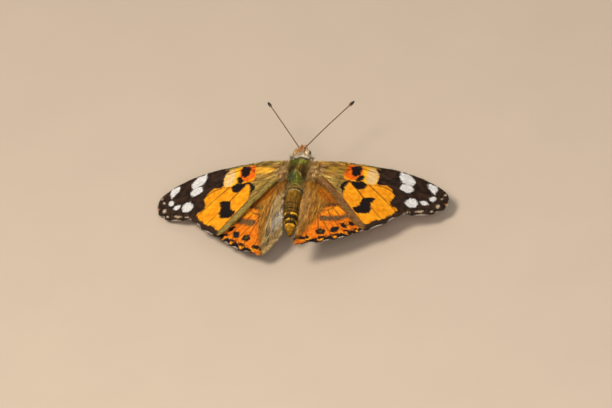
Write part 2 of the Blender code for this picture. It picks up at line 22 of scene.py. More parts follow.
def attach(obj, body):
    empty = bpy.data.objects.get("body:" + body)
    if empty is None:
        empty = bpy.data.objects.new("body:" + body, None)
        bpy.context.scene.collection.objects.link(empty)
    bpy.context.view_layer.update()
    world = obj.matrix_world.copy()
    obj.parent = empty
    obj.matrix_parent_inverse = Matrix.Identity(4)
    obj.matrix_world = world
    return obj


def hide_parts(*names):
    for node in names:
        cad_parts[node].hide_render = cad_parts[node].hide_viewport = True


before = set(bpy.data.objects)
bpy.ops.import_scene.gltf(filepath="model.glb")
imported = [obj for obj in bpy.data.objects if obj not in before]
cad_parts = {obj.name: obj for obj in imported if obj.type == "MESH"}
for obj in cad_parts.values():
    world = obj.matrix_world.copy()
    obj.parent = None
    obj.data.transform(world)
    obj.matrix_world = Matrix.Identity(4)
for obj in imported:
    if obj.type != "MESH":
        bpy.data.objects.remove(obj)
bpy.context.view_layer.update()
MM = 0.001
BODY = "root"
TUBE_WELD = 0.0004
NEARLY_UP = np.array([0.02, 0.03, 1.0])
WING_SEEDS = (7, 107)
BODY_SEED, HEAD_SEED, LEGS_SEED = 11, 12, 13
log = logging.getLogger("painted_lady")

Points = np.ndarray
Colour = tuple[int, int, int]
Triple = tuple[float, float, float]
Knots = tuple[tuple[float, float], ...]


class Side(Enum):
    """Which side of the body a piece is on, with its sign along x."""

    RIGHT = 1
    LEFT = -1

    @property
    def label(self) -> str:
        """The side as it is written in a piece's name."""
        return self.name.lower()


class Grain(Enum):
    """What blends the two colours of a paint."""

    SCALES = "scales"
    STREAKS = "streaks"
    CLOUDS = "clouds"


SCALES, STREAKS, CLOUDS = Grain

def rotation(axis: str, degrees: float) -> np.ndarray:
    """Return the 3x3 matrix of a turn about one axis."""
    return np.array(Matrix.Rotation(math.radians(degrees), 3, axis))


def unit(vectors: Points) -> Points:
    """Return the vectors, each scaled to a length of one."""
    return vectors / np.maximum(np.linalg.norm(vectors, axis=-1, keepdims=True), 1e-9)


@dataclass(frozen=True)
class Stance:
    """Where the middle of the thorax is held, in millimetres, and how far the head is up."""

    place: Triple = (-0.27, 1.14, 7.4)
    pitch: float = 8.4

    def world(self, points: Points) -> Points:
        """Put points of the body's frame in the world, in millimetres.

        Args:
            points: Places in the body's frame.

        Returns:
            The same places in the world.
        """
        return self.turned(points) + np.array(self.place)

    def turned(self, vectors: Points) -> Points:
        """Turn directions of the body's frame into the world's."""
        return np.asarray(vectors, float) @ rotation("X", self.pitch).T

    def body(self, points: Points) -> Points:
        """Put places of the world back in the body's frame."""
        return (points - np.array(self.place)) @ rotation("X", self.pitch)


STANCE = Stance()


def smooth_route(knots: Iterable, steps: int, closed: bool = False) -> Points:
    """Draw a Catmull-Rom line through the knots.

    Args:
        knots: Places in two or three dimensions.
        steps: Points for each span between knots.
        closed: Whether the line comes back to its first knot.

    Returns:
        The points of the line, without a second copy of the first one when closed.
    """
    at = np.array(list(knots), float)
    if closed:
        ends = np.vstack([at[-1:], at, at[:2]])
    else:
        ends = np.vstack([2 * at[:1] - at[1:2], at, 2 * at[-1:] - at[-2:-1]])
    t = (np.arange(steps) / steps)[None, :, None]
    p0, p1, p2, p3 = (ends[i:len(ends) - 3 + i, None, :] for i in range(4))
    line = 0.5 * (2 * p1 + (p2 - p0) * t + (2 * p0 - 5 * p1 + 4 * p2 - p3) * t ** 2
                  + (3 * p1 - p0 - 3 * p2 + p3) * t ** 3)
    line = line.reshape(-1, at.shape[1])
    return line if closed else np.vstack([line, at[-1:]])


def line_distance(points: Points, route: Points) -> tuple[Points, Points]:
    """Measure how far points lie from a line.

    Args:
        points: Places to measure.
        route: The line's points.

    Returns:
        The distance of each place, and how far along the line it is, as a share.
    """
    best = np.full(len(points), 1e9)
    share = np.zeros(len(points))
    spans = len(route) - 1
    for index in range(spans):
        start, along = route[index], route[index + 1] - route[index]
        t = np.clip((points - start) @ along / max(along @ along, 1e-12), 0.0, 1.0)
        away = np.linalg.norm(points - start - t[:, None] * along, axis=1)
        near = away < best
        best[near] = away[near]
        share[near] = (index + t[near]) / spans
    return best, share


def loop_distance(points: Points, loop: Points) -> Points:
    """Return each point's distance to a closed loop in plan, below zero inside it."""
    away, _ = line_distance(points, np.vstack([loop, loop[:1]]))
    x, y = points[:, 0], points[:, 1]
    within = np.zeros(len(points), bool)
    for (x0, y0), (x1, y1) in zip(loop, np.roll(loop, -1, axis=0)):
        if y0 == y1:
            continue
        crosses = ((y0 > y) != (y1 > y)) & (x < x0 + (y - y0) / (y1 - y0) * (x1 - x0))
        within ^= crosses
    return np.where(within, -away, away)


@dataclass(frozen=True)
class Oval:
    """A flat oval in plan; its bearing is turned from +x towards +y, in degrees."""

    x: float
    y: float
    half_length: float
    half_width: float
    bearing: float = 0.0

    def distance(self, points: Points) -> Points:
        """Return the signed distance of each point to the oval's edge."""
        turn = math.radians(self.bearing)
        dx, dy = points[:, 0] - self.x, points[:, 1] - self.y
        along = dx * math.cos(turn) + dy * math.sin(turn)
        across = dy * math.cos(turn) - dx * math.sin(turn)
        reach = np.hypot(along / self.half_length, across / self.half_width)
        return (reach - 1.0) * min(self.half_length, self.half_width)


@dataclass(frozen=True)
class Patch:
    """A closed patch in plan, drawn smoothly through its knots."""

    knots: Knots
    steps: int = 4

    def distance(self, points: Points) -> Points:
        """Return the signed distance of each point to the patch's edge."""
        return loop_distance(points, smooth_route(self.knots, self.steps, closed=True))


@dataclass(frozen=True)
class Stripe:
    """A stripe of even width along a line, drawn smoothly through its knots."""

    knots: tuple[tuple[float, ...], ...]
    half_width: float

    def distance(self, points: Points) -> Points:
        """Return the signed distance of each point to the stripe's edge."""
        return line_distance(points, smooth_route(self.knots, 4))[0] - self.half_width


@dataclass(frozen=True)
class Blob:
    """A rounded region of the body, given by its middle and its half sizes."""

    middle: Triple
    half: Triple

    def distance(self, points: Points) -> Points:
        """Return the signed distance of each point to the region's edge, roughly."""
        reach = np.linalg.norm((points - np.array(self.middle)) / np.array(self.half), axis=1)
        return (reach - 1.0) * min(self.half)


@dataclass(frozen=True)
class Band:
    """The stretch of the body between two stations of one axis."""

    low: float
    high: float
    axis: int = 1

    def distance(self, points: Points) -> Points:
        """Return the signed distance of each point to the band's edge."""
        at = points[:, self.axis]
        return np.maximum(self.low - at, at - self.high)


@dataclass(frozen=True)
class Within:
    """What two regions of the body share."""

    first: "Region"
    second: "Region"

    def distance(self, points: Points) -> Points:
        """Return the signed distance of each point to the shared region's edge."""
        return np.maximum(self.first.distance(points), self.second.distance(points))


Region = Oval | Patch | Stripe | Blob | Band | Within


def measure(regions: Iterable[Region], points: Points) -> Points:
    """Return the signed distance of each point to the nearest of several regions."""
    return np.min([region.distance(points) for region in regions], axis=0)


def read_vectors(items: Iterable, key: str) -> Points:
    """Return one vector for each item of a mesh's collection."""
    flat = np.empty(len(items) * 3, np.float32)
    items.foreach_get(key, flat)
    return flat.reshape(-1, 3).astype(float)


def read_points(mesh: Mesh) -> Points:
    """Return a mesh's vertices, in millimetres."""
    return read_vectors(mesh.vertices, "co") / MM


def write_points(mesh: Mesh, points: Points) -> None:
    """Move a mesh's vertices to the given places, in millimetres."""
    mesh.vertices.foreach_set("co", np.asarray(points * MM, np.float32).ravel())
    mesh.update()


def add_values(mesh: Mesh, values: dict[str, Points]) -> None:
    """Keep named values on a mesh's vertices: one number or one place to a vertex."""
    for name, value in values.items():
        flat = np.asarray(value, np.float32)
        kind = "FLOAT" if flat.ndim == 1 else "FLOAT_VECTOR"
        layer = mesh.attributes.new(name, kind, "POINT")
        layer.data.foreach_set("value" if flat.ndim == 1 else "vector", flat.ravel())


def new_object(name: str, data: ID) -> Object:
    """Link a mesh, a light or a camera to the scene as an object of that name."""
    obj = bpy.data.objects.new(name, data)
    bpy.context.scene.collection.objects.link(obj)
    return obj


def finish_piece(obj: Object, finishes: list[Material], slot: str,
                 *nodes: str) -> None:
    """Dress a piece, set it on the body, and hide the plain nodes that it stands for.

    Args:
        obj: The finished piece.
        finishes: Its materials, in the order of its material slots.
        slot: The record's material slot; not used.
        nodes: The plain nodes that the piece takes the place of.
    """
    for finish in finishes:
        obj.data.materials.append(finish)
    obj.data.shade_smooth()
    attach(obj, BODY)
    if nodes:
        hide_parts(*nodes)
    log.info("%s: %d faces", obj.name, len(obj.data.polygons))


def set_piece(mesh: Mesh, finishes: list[Material], slot: str, *nodes: str) -> None:
    """Make a piece of a mesh, under the mesh's own name, and finish it."""
    finish_piece(new_object(mesh.name, mesh), finishes, slot, *nodes)


def mapped_grid(name: str, columns: int, rows: int,
                place: Callable[[Points, Points], Points], weld: float = 0.0) -> Mesh:
    """Lay a grid of faces over a surface.

    Args:
        name: The mesh's name.
        columns: Faces along the first direction.
        rows: Faces along the second direction.
        place: Gives a place in millimetres for shares of both directions.
        weld: How near two vertices are to be made one, in millimetres.

    Returns:
        The mesh, in metres.
    """
    bm = bmesh.new()
    bmesh.ops.create_grid(bm, x_segments=columns, y_segments=rows, size=0.5)
    mesh = bpy.data.meshes.new(name)
    bm.to_mesh(mesh)
    flat = read_vectors(mesh.vertices, "co") + 0.5
    s = np.rint(flat[:, 0] * columns) / columns
    t = np.rint(flat[:, 1] * rows) / rows
    write_points(mesh, place(s, t))
    if weld:
        bm.clear()
        bm.from_mesh(mesh)
        bmesh.ops.remove_doubles(bm, verts=bm.verts, dist=weld * MM)
        bmesh.ops.dissolve_degenerate(bm, edges=bm.edges, dist=weld * MM)
        bmesh.ops.recalc_face_normals(bm, faces=bm.faces)
        bm.to_mesh(mesh)
    bm.free()
    return mesh


def tube_mesh(name: str, route: Points, radii: Points, sides: int = 8) -> Mesh:
    """Wrap a grid round a route, closed at both ends.

    Args:
        name: The mesh's name.
        route: The middle line, in millimetres.
        radii: The radius at each point of the route.
        sides: Faces round the tube.

    Returns:
        The closed tube, in metres.
    """
    heading = unit(np.gradient(route, axis=0))
    across = unit(np.cross(heading, NEARLY_UP))
    upright = unit(np.cross(across, heading))
    last = len(route) - 1

    def place(s: Points, t: Points) -> Points:
        """Return the tube's skin at a share along it and a share round it."""
        at = np.rint(s * last).astype(int)
        turn = 2 * math.pi * t
        radius = np.where((at == 0) | (at == last), 0.0, radii[at])
        swing = across[at] * np.cos(turn)[:, None] + upright[at] * np.sin(turn)[:, None]
        return route[at] + radius[:, None] * swing

    return mapped_grid(name, last, sides, place, weld=TUBE_WELD)


def joined(name: str, meshes: Iterable[Mesh]) -> Mesh:
    """Return one mesh that holds several, which are removed."""
    bm = bmesh.new()
    for mesh in meshes:
        bm.from_mesh(mesh)
        bpy.data.meshes.remove(mesh)
    whole = bpy.data.meshes.new(name)
    bm.to_mesh(whole)
    bm.free()
    return whole


def ellipsoid(name: str, form: Blob, segments: int = 48, rings: int = 32) -> Mesh:
    """Return an ellipsoid of the body's frame, with its poles along the body.

    Args:
        name: The mesh's name.
        form: Its middle and half sizes, in millimetres.
        segments: Faces round it.
        rings: Faces from pole to pole.

    Returns:
        The mesh, in metres.
    """
    bm = bmesh.new()
    bmesh.ops.create_uvsphere(bm, u_segments=segments, v_segments=rings, radius=1.0)
    bmesh.ops.rotate(bm, verts=bm.verts, matrix=Matrix.Rotation(math.pi / 2, 3, "X"))
    bmesh.ops.scale(bm, verts=bm.verts, vec=Vector(form.half) * MM)
    bmesh.ops.translate(bm, verts=bm.verts, vec=Vector(form.middle) * MM)
    mesh = bpy.data.meshes.new(name)
    bm.to_mesh(mesh)
    bm.free()
    return mesh


# Finishes

EVEN_FIELDS = ("vein", "line", "rim", "fringe")


def linear(colour: Colour) -> tuple[float, float, float, float]:
    """Turn a colour told in 0 to 255 into the linear value that a shader takes."""
    shares = [c / 255 for c in colour]
    values = [s / 12.92 if s <= 0.04045 else ((s + 0.055) / 1.055) ** 2.4 for s in shares]
    return (*values, 1.0)


@dataclass
class Graph:
    """A node tree with short ways to add, feed and blend nodes."""

    tree: NodeTree

    def feed(self, node: Node, feeds: dict) -> Node:
        """Feed a node's inputs, each with a socket or a plain value.

        Args:
            node: The node to feed.
            feeds: What goes into each input.

        Returns:
            The same node.
        """
        for key, value in feeds.items():
            if isinstance(value, NodeSocket):
                self.tree.links.new(value, node.inputs[key])
            else:
                node.inputs[key].default_value = value
        return node

    def add(self, kind: str, feeds: dict | None = None, **settings: object) -> Node:
        """Add a node.

        Args:
            kind: The node's type, without its ShaderNode prefix.
            feeds: What goes into its inputs.
            settings: Values of the node's own settings.

        Returns:
            The new node.
        """
        node = self.tree.nodes.new("ShaderNode" + kind)
        for name, value in settings.items():
            setattr(node, name, value)
        return self.feed(node, feeds or {})

    def group(self, tree: NodeTree, feeds: dict) -> Node:
        """Place a shared node group and feed it."""
        return self.add("Group", feeds, node_tree=tree)

    def value(self, name: str) -> NodeSocket:
        """Return a number that the mesh keeps under that name."""
        return self.add("Attribute", attribute_name=name).outputs["Fac"]

    def millimetres(self) -> NodeSocket:
        """Return the Object coordinates, in millimetres."""
        place = self.add("TexCoord").outputs["Object"]
        return self.add("VectorMath", {0: place, "Scale": 1.0 / MM}, operation="SCALE").outputs[0]

    def maths(self, operation: str, *terms: object) -> NodeSocket:
        """Return the result of a sum on sockets and plain numbers."""
        return self.add("Math", dict(enumerate(terms)), operation=operation).outputs[0]

    def blend(self, share: object, first: object, second: object) -> NodeSocket:
        """Return a colour between two, by a share from 0 to 1."""
        feeds = {0: share, 6: first, 7: second}
        return self.add("Mix", feeds, data_type="RGBA").outputs[2]

    def noise(self, feeds: dict, low: float, high: float, reach: float = 0.0) -> NodeSocket:
        """Return noise, drawn out so that its stretch from low to high fills a range.

        Args:
            feeds: What goes into the noise.
            low: Where the stretch starts.
            high: Where it ends.
            reach: Half the range round zero, or nothing for a range from 0 to 1.

        Returns:
            The noise's value.
        """
        feeds = {"Value": self.add("TexNoise", feeds).outputs[0], "From Min": low,
                 "From Max": high, "To Min": -reach, "To Max": reach or 1.0}
        return self.add("MapRange", feeds).outputs[0]

    def dress(self, shader: Node, colour: NodeSocket, grain: Node, roughness: float,
              spread: float, relief: float, depth: float = 0.02) -> None:
        """Feed a shader its colour, and the roughness and relief that fine scales give.

        Args:
            shader: The material's shader.
            colour: The colour.
            grain: The placed group of fine scales.
            roughness: The mean roughness.
            spread: How far the roughness varies from scale to scale.
            relief: The strength of the relief.
            depth: Its depth, in millimetres.
        """
        rough = self.maths("MULTIPLY_ADD", grain.outputs["Speck"], spread,
                           roughness - spread / 2)
        bump = self.add("Bump", {"Strength": relief, "Distance": depth * MM,
                                 "Height": grain.outputs["Relief"]})
        self.feed(shader, {"Base Color": colour, "Roughness": rough, "Normal": bump.outputs[0]})


def new_material(name: str) -> tuple[Material, Graph, Node]:
    """Start a material with nodes, and return it with its graph and its shader."""
    material = bpy.data.materials.new(name)
    material.use_nodes = True
    return material, Graph(material.node_tree), material.node_tree.nodes["Principled BSDF"]


def new_group(name: str, inputs: dict[str, str], outputs: dict[str, str]
              ) -> tuple[NodeTree, Graph, Node, Node]:
    """Start a shader node group.

    Args:
        name: The group's name.
        inputs: The socket type of each named input.
        outputs: The socket type of each named output.

    Returns:
        The tree, its graph, its input node and its output node.
    """
    tree = bpy.data.node_groups.new(name, "ShaderNodeTree")
    for label, kind in inputs.items():
        tree.interface.new_socket(label, in_out="INPUT", socket_type="NodeSocket" + kind)
    for label, kind in outputs.items():
        tree.interface.new_socket(label, in_out="OUTPUT", socket_type="NodeSocket" + kind)
    return tree, Graph(tree), tree.nodes.new("NodeGroupInput"), tree.nodes.new("NodeGroupOutput")


def edge_group() -> NodeTree:
    """Return the group that turns a signed distance into a mask with a scale-ragged edge."""
    inputs = {"Distance": "Float", "Reach": "Float", "Edge": "Float", "Rag": "Float",
              "Speck": "Float", "Wander": "Float"}
    tree, graph, source, sink = new_group("marking_edge", inputs, {"Mask": "Float"})
    given = source.outputs
    shift = graph.maths("MULTIPLY", graph.maths("SUBTRACT", given["Speck"], 0.5), given["Rag"])
    depth = graph.maths("SUBTRACT", given["Distance"], given["Reach"])
    depth = graph.maths("ADD", graph.maths("ADD", depth, shift), given["Wander"])
    low = graph.maths("MULTIPLY", given["Edge"], -1.0)
    feeds = {"Value": depth, "From Min": low, "From Max": given["Edge"], "To Min": 1.0,
             "To Max": 0.0}
    ramp = graph.add("MapRange", feeds, interpolation_type="SMOOTHSTEP")
    graph.feed(sink, {"Mask": ramp.outputs[0]})
    return tree


def scale_group() -> NodeTree:
    """Return the group of the fine scales: a shade for each one, and their relief."""
    inputs = {"Place": "Vector", "Size": "Float", "Stretch": "Float"}
    tree, graph, source, sink = new_group("wing_scales", inputs,
                                          {"Speck": "Float", "Relief": "Float"})
    count = graph.maths("DIVIDE", 1.0, source.outputs["Size"])
    wide = graph.maths("MULTIPLY", count, source.outputs["Stretch"])
    shape = graph.add("CombineXYZ", {0: count, 1: wide, 2: count}).outputs[0]
    spot = graph.add("VectorMath", {0: source.outputs["Place"], 1: shape},
                     operation="MULTIPLY").outputs[0]
    cells = graph.add("TexVoronoi", {"Vector": spot, "Scale": 1.0, "Randomness": 0.75},
                      feature="F1")
    speck = graph.add("SeparateColor", {0: cells.outputs["Color"]}).outputs[0]
    relief = graph.maths("SUBTRACT", 1.0, cells.outputs["Distance"])
    relief = graph.maths("ADD", relief, graph.maths("MULTIPLY", speck, 0.5))
    graph.feed(sink, {"Speck": speck, "Relief": relief})
    return tree


def streak_group() -> NodeTree:
    """Return the group of long, fine streaks, drawn out along one direction."""
    inputs = {"Place": "Vector", "Pull": "Vector"}
    tree, graph, source, sink = new_group("hair_streaks", inputs, {"Streak": "Float"})
    spot = graph.add("VectorMath", {0: source.outputs["Place"], 1: source.outputs["Pull"]},
                     operation="MULTIPLY").outputs[0]
    feeds = {"Vector": spot, "Scale": 1.0, "Detail": 3.0, "Roughness": 0.6}
    graph.feed(sink, {"Streak": graph.noise(feeds, 0.34, 0.66)})
    return tree


@dataclass(frozen=True)
class Paint:
    """One marking's colours: where its field is inside, two colours blended by a grain.

    Args:
        field: The name of the field of distances that bounds the marking.
        first: The colour at one end of the grain.
        second: The colour at the other end.
        grain: What blends the two.
        edge: Half the width over which the marking fades, in millimetres.
        rag: How far single scales stray over the edge, in millimetres.
        reach: How far the marking goes past its field's own edge.
        cover: How much of what lies below is hidden, from 0 to 1.
    """

    field: str
    first: Colour
    second: Colour
    grain: Grain = Grain.SCALES
    edge: float = 0.05
    rag: float = 0.14
    reach: float = 0.0
    cover: float = 1.0

    def tint(self, graph: Graph, shares: dict[Grain, NodeSocket]) -> NodeSocket:
        """Return the marking's own colour, blended by the share of its grain."""
        return graph.blend(shares[self.grain], linear(self.first), linear(self.second))


@dataclass(frozen=True)
class PaintedFinish:
    """A finish of many markings over a ground, for a skin and for the tufts on it.

    Its shades are the least brightness, and what the grain, a tuft's own tone and the
    nearness of its tip add; a bare skin has neither tone nor tip.
    """

    name: str
    ground: Paint
    paints: tuple[Paint, ...]
    pull: Triple = (0.5, 7.0, 1.0)
    scale_size: float = 0.1
    roughness: float = 0.72
    gloss: float = 0.18
    relief: float = 0.35
    wander: float = 0.16
    scale_stretch: float = 0.6
    speckle: float = 0.4
    shades: tuple[float, float, float, float] = (0.74, 0.2, 0.28, 0.14)

    def build(self, groups: dict[str, NodeTree]) -> Material:
        """Make the material.

        Args:
            groups: The shared node groups, by name.

        Returns:
            The finished material.
        """
        material, graph, shader = new_material(self.name)
        place = graph.add("Attribute", attribute_name="plan").outputs["Vector"]
        scales = graph.group(groups["scales"], {"Place": place, "Size": self.scale_size,
                                                "Stretch": self.scale_stretch})
        speck = scales.outputs["Speck"]
        streak = graph.group(groups["streaks"], {"Place": place, "Pull": self.pull}).outputs[0]
        cloud = graph.noise({"Vector": place, "Scale": 0.9, "Detail": 3.0}, 0.35, 0.65)
        wander = graph.noise({"Vector": place, "Scale": 2.2, "Detail": 1.0}, 0.3, 0.7, self.wander)
        speckled = graph.maths("MULTIPLY", graph.maths("SUBTRACT", speck, 0.5), self.speckle)
        shares = {SCALES: speck}
        for grain, source in ((STREAKS, streak), (CLOUDS, cloud)):
            clamp = graph.add("Clamp", {"Value": graph.maths("ADD", source, speckled)})
            shares[grain] = clamp.outputs[0]
        colour = self.ground.tint(graph, shares)
        for paint in self.paints:
            feeds = {"Distance": graph.value(paint.field), "Reach": paint.reach,
                     "Edge": paint.edge, "Rag": paint.rag, "Speck": speck,
                     "Wander": 0.0 if paint.field in EVEN_FIELDS else wander}
            mask = graph.group(groups["edge"], feeds).outputs["Mask"]
            if paint.cover < 1.0:
                mask = graph.maths("MULTIPLY", mask, paint.cover)
            colour = graph.blend(mask, colour, paint.tint(graph, shares))
        value = graph.maths("MULTIPLY_ADD", speck, self.shades[1], self.shades[0])
        for name, share in zip(("tone", "tip"), self.shades[2:]):
            value = graph.maths("MULTIPLY_ADD", graph.value(name), share, value)
        colour = graph.add("HueSaturation", {"Value": value, "Color": colour}).outputs[0]
        graph.dress(shader, colour, scales, self.roughness, 0.16, self.relief)
        graph.feed(shader, {"Specular IOR Level": self.gloss})
        return material


@dataclass(frozen=True)
class HornFinish:
    """A smooth, horny finish, banded along its length where bands are asked for."""

    name: str
    first: Colour
    second: Colour
    roughness: float = 0.4
    coat: float = 0.2
    grain_size: float = 0.25
    speckle: float = 0.12

    def build(self, groups: dict[str, NodeTree]) -> Material:
        """Make the material, which blends its colours by the piece's own band attribute.

        Args:
            groups: The shared node groups, by name.

        Returns:
            The finished material.
        """
        material, graph, shader = new_material(self.name)
        scales = graph.group(groups["scales"], {"Place": graph.millimetres(),
                                                "Size": self.grain_size, "Stretch": 1.0})
        share = graph.maths("MULTIPLY_ADD", scales.outputs["Speck"], self.speckle,
                            graph.value("band"))
        share = graph.add("Clamp", {"Value": share}).outputs[0]
        colour = graph.blend(share, linear(self.first), linear(self.second))
        graph.dress(shader, colour, scales, self.roughness, 0.2, 0.3)
        graph.feed(shader, {"Coat Weight": self.coat, "Coat Roughness": 0.15})
        return material


@dataclass(frozen=True)
class EyeFinish:
    """The compound eye: fine facets, mottled colour, painted shade from its band, and a
    wet-looking gloss.
    """

    name: str = "compound_eye"
    facet: float = 0.045
    roughness: float = 0.255
    pale: Colour = (196, 172, 124)
    dark: Colour = (26, 14, 8)

    def build(self, groups: dict[str, NodeTree]) -> Material:
        """Make the material.

        Args:
            groups: The shared node groups, by name.

        Returns:
            The finished material.
        """
        material, graph, shader = new_material(self.name)
        spot = graph.millimetres()
        facets = graph.group(groups["scales"], {"Place": spot, "Size": self.facet,
                                                "Stretch": 1.0})
        blotch = graph.noise({"Vector": spot, "Scale": 2.4, "Detail": 2.0}, 0.42, 0.6)
        # The band is painted shade: dark where the eye meets the head and round its outer rim.
        share = graph.maths("MAXIMUM", graph.maths("MULTIPLY", blotch, 0.6), graph.value("band"))
        colour = graph.blend(share, linear(self.pale), linear(self.dark))
        graph.dress(shader, colour, facets, self.roughness, 0.15, 0.5, depth=0.01)
        graph.feed(shader, {"Coat Weight": 0.6, "Coat Roughness": 0.08})
        return material


# Tufts of hair and scales

STRAND_WIDTH = 0.3
STRAND_LENGTH = 2.2
STRAND_TONES = 1024
UNWRAP_PATCH = 0.003


@dataclass
class Roots:
    """Places where tufts stand: points and normals of the world in mm, and values there."""

    points: Points
    normals: Points
    values: dict[str, Points]


def scatter(mesh: Mesh, values: dict[str, Points], weight: Points, count: int,
            rng: np.random.Generator) -> Roots:
    """Draw places over a skin, more of them where it is weighted more.

    Args:
        mesh: The skin, in metres.
        values: Named values on its vertices.
        weight: How thickly tufts grow at each vertex.
        count: How many places to draw.
        rng: The seeded source of chance.

    Returns:
        The drawn places.
    """
    mesh.calc_loop_triangles()
    corners = np.empty(len(mesh.loop_triangles) * 3, np.int32)
    mesh.loop_triangles.foreach_get("vertices", corners)
    corners = corners.reshape(-1, 3)
    points = read_points(mesh)
    normals = read_vectors(mesh.vertex_normals, "vector")
    a, b, c = (points[corners[:, i]] for i in range(3))
    density = np.linalg.norm(np.cross(b - a, c - a), axis=1) * weight[corners].mean(axis=1)
    chosen = corners[rng.choice(len(corners), count, p=density / density.sum())]
    shares = rng.random((count, 2))
    over = shares.sum(axis=1) > 1.0
    shares[over] = 1.0 - shares[over]
    shares = np.column_stack([1.0 - shares.sum(axis=1), shares])

    def mixed(value: Points) -> Points:
        """Return a vertex value at the drawn places."""
        parts = value[chosen]
        return (parts * (shares if parts.ndim == 2 else shares[..., None])).sum(axis=1)

    return Roots(mixed(points), unit(mixed(normals)),
                 {name: mixed(value) for name, value in values.items()})


@dataclass(frozen=True)
class TuftShape:
    """How one kind of tuft is formed, in millimetres and shares.

    Args:
        length: Mean length.
        width: Width at the root.
        rise: How steeply the tuft leaves the skin, as a share of its length.
        droop: How much of that rise is lost again towards the tip.
        rings: Rings of three points along the tuft, before its tip.
        stray: How far tufts turn from the common lie, as a share.
        sink: How deep the root is set in the skin.
        ridge: How thick the tuft is, as a share of its half width.
        blunt: Whether it widens from a point at its root, as a scale does.
    """

    length: float
    width: float
    rise: float = 0.25
    droop: float = 0.5
    rings: int = 2
    stray: float = 0.2
    sink: float = 0.04
    ridge: float = 0.8
    blunt: bool = False

    def grow(self, name: str, roots: Roots, lie: Points, unwrap: Points,
             rng: np.random.Generator, scale: Points | float = 1.0) -> Mesh:
        """Grow a tuft on every root, all in one mesh.

        Args:
            name: The mesh's name.
            roots: Where the tufts stand.
            lie: The direction that each one lies in.
            unwrap: Each root's place on an unwrap of the skin, from 0 to 1.
            rng: The seeded source of chance.
            scale: How long each tuft is beside the mean.

        Returns:
            The mesh, in metres, with its values and its unwrap. Neighbours side by side
            along the lie share a tone, so that the coat shows strands.
        """
        count = len(roots.points)
        lane = (np.cross(lie, roots.normals) * roots.points).sum(axis=1) / STRAND_WIDTH
        reach = (lie * roots.points).sum(axis=1) / STRAND_LENGTH
        lane = np.floor(lane + 0.5 * np.sin(reach * 2.1)).astype(int)
        strand = lane * 7919 + np.floor(reach + 0.37 * lane).astype(int) * 104729
        strand_tone = rng.random(STRAND_TONES)[strand % STRAND_TONES]
        tone = 0.6 * strand_tone + 0.4 * rng.random(count)
        up = roots.normals
        along = lie + rng.normal(0.0, self.stray, (count, 3))
        along = unit(along - up * (along * up).sum(axis=1)[:, None])
        across = np.cross(along, up)
        length = self.length * scale * rng.uniform(0.7, 1.25, count)
        bend = rng.normal(0.0, 0.12, count)
        stations = np.arange(self.rings + 1) / self.rings
        taper = [1.0 - 0.45 * s for s in stations[:-1]]
        rings = []
        for share, wide in zip(stations, taper + [0.0]):
            out = 1.0 - share if self.blunt else share
            rise = self.rise * out * (1.0 - self.droop * out)
            spine = roots.points + along * (length * out)[:, None]
            spine = spine + across * (length * bend * out * out)[:, None]
            spine = spine + up * (length * rise - (self.sink if out == 0.0 else 0.0))[:, None]
            if share < 1.0:
                half = 0.5 * self.width * wide
                rings += [spine + across * half, spine - across * half,
                          spine + up * half * self.ridge]
            else:
                rings.append(spine)
        per = 3 * self.rings + 1
        points = np.stack(rings, axis=1).reshape(-1, 3)
        quads, tris = [], [(0, 1, 2)]
        for a, b in ((1, 0), (0, 2), (2, 1)):
            for ring in range(self.rings - 1):
                low, high = 3 * ring, 3 * ring + 3
                quads.append((low + a, low + b, high + b, high + a))
            low = 3 * (self.rings - 1)
            tris.append((low + a, low + b, per - 1))
        if self.blunt:
            quads, tris = ([face[::-1] for face in faces] for faces in (quads, tris))
            stations = 1.0 - stations
        start = (np.arange(count) * per)[:, None, None]
        corners = [(start + np.array(quads)[None]).reshape(-1, 4),
                   (start + np.array(tris)[None]).reshape(-1, 3)]
        mesh = bpy.data.meshes.new(name)
        mesh.vertices.add(len(points))
        mesh.loops.add(sum(part.size for part in corners))
        mesh.polygons.add(sum(len(part) for part in corners))
        loops = np.concatenate([part.ravel() for part in corners]).astype(np.int32)
        sizes = np.concatenate([np.full(len(part), part.shape[1]) for part in corners])
        mesh.loops.foreach_set("vertex_index", loops)
        starts = np.concatenate([[0], np.cumsum(sizes)[:-1]]).astype(np.int32)
        mesh.polygons.foreach_set("loop_start", starts)
        write_points(mesh, points)
        mesh.update(calc_edges=True)
        spread = np.array([(x, r / self.rings) for r in range(self.rings) for x in (0, 1, 0.5)]
                          + [(0.5, 1.0)]) - 0.5
        patch = unwrap[:, None, :] + UNWRAP_PATCH * spread[None]
        layer = mesh.uv_layers.new(name="OFBake")
        layer.data.foreach_set("uv", patch.reshape(-1, 2)[loops].astype(np.float32).ravel())
        values = {key: np.repeat(value, per, axis=0) for key, value in roots.values.items()}
        values["tip"] = np.tile(np.repeat(stations, [3] * self.rings + [1]), count)
        values["tone"] = np.repeat(tone, per)
        add_values(mesh, values)
        return mesh


@dataclass
class Coat:
    """One kind of tuft on a skin.

    Args:
        label: The name of the piece, which on a wing follows the wing's own.
        tuft: The form of the tufts.
        count: How many there are.
        weight: How thickly they grow at each vertex of the skin.
        heading: Their direction in a wing's plan, or nothing for away from the hinge.
        under: Whether they grow on the wing's underside.
        forward: How far the body's tufts pull forwards, or zero where they lie back.
    """

    label: str
    tuft: TuftShape
    count: int
    weight: Points
    heading: tuple[float, float] | None = None
    under: bool = False
    forward: float = 0.0


# Wings


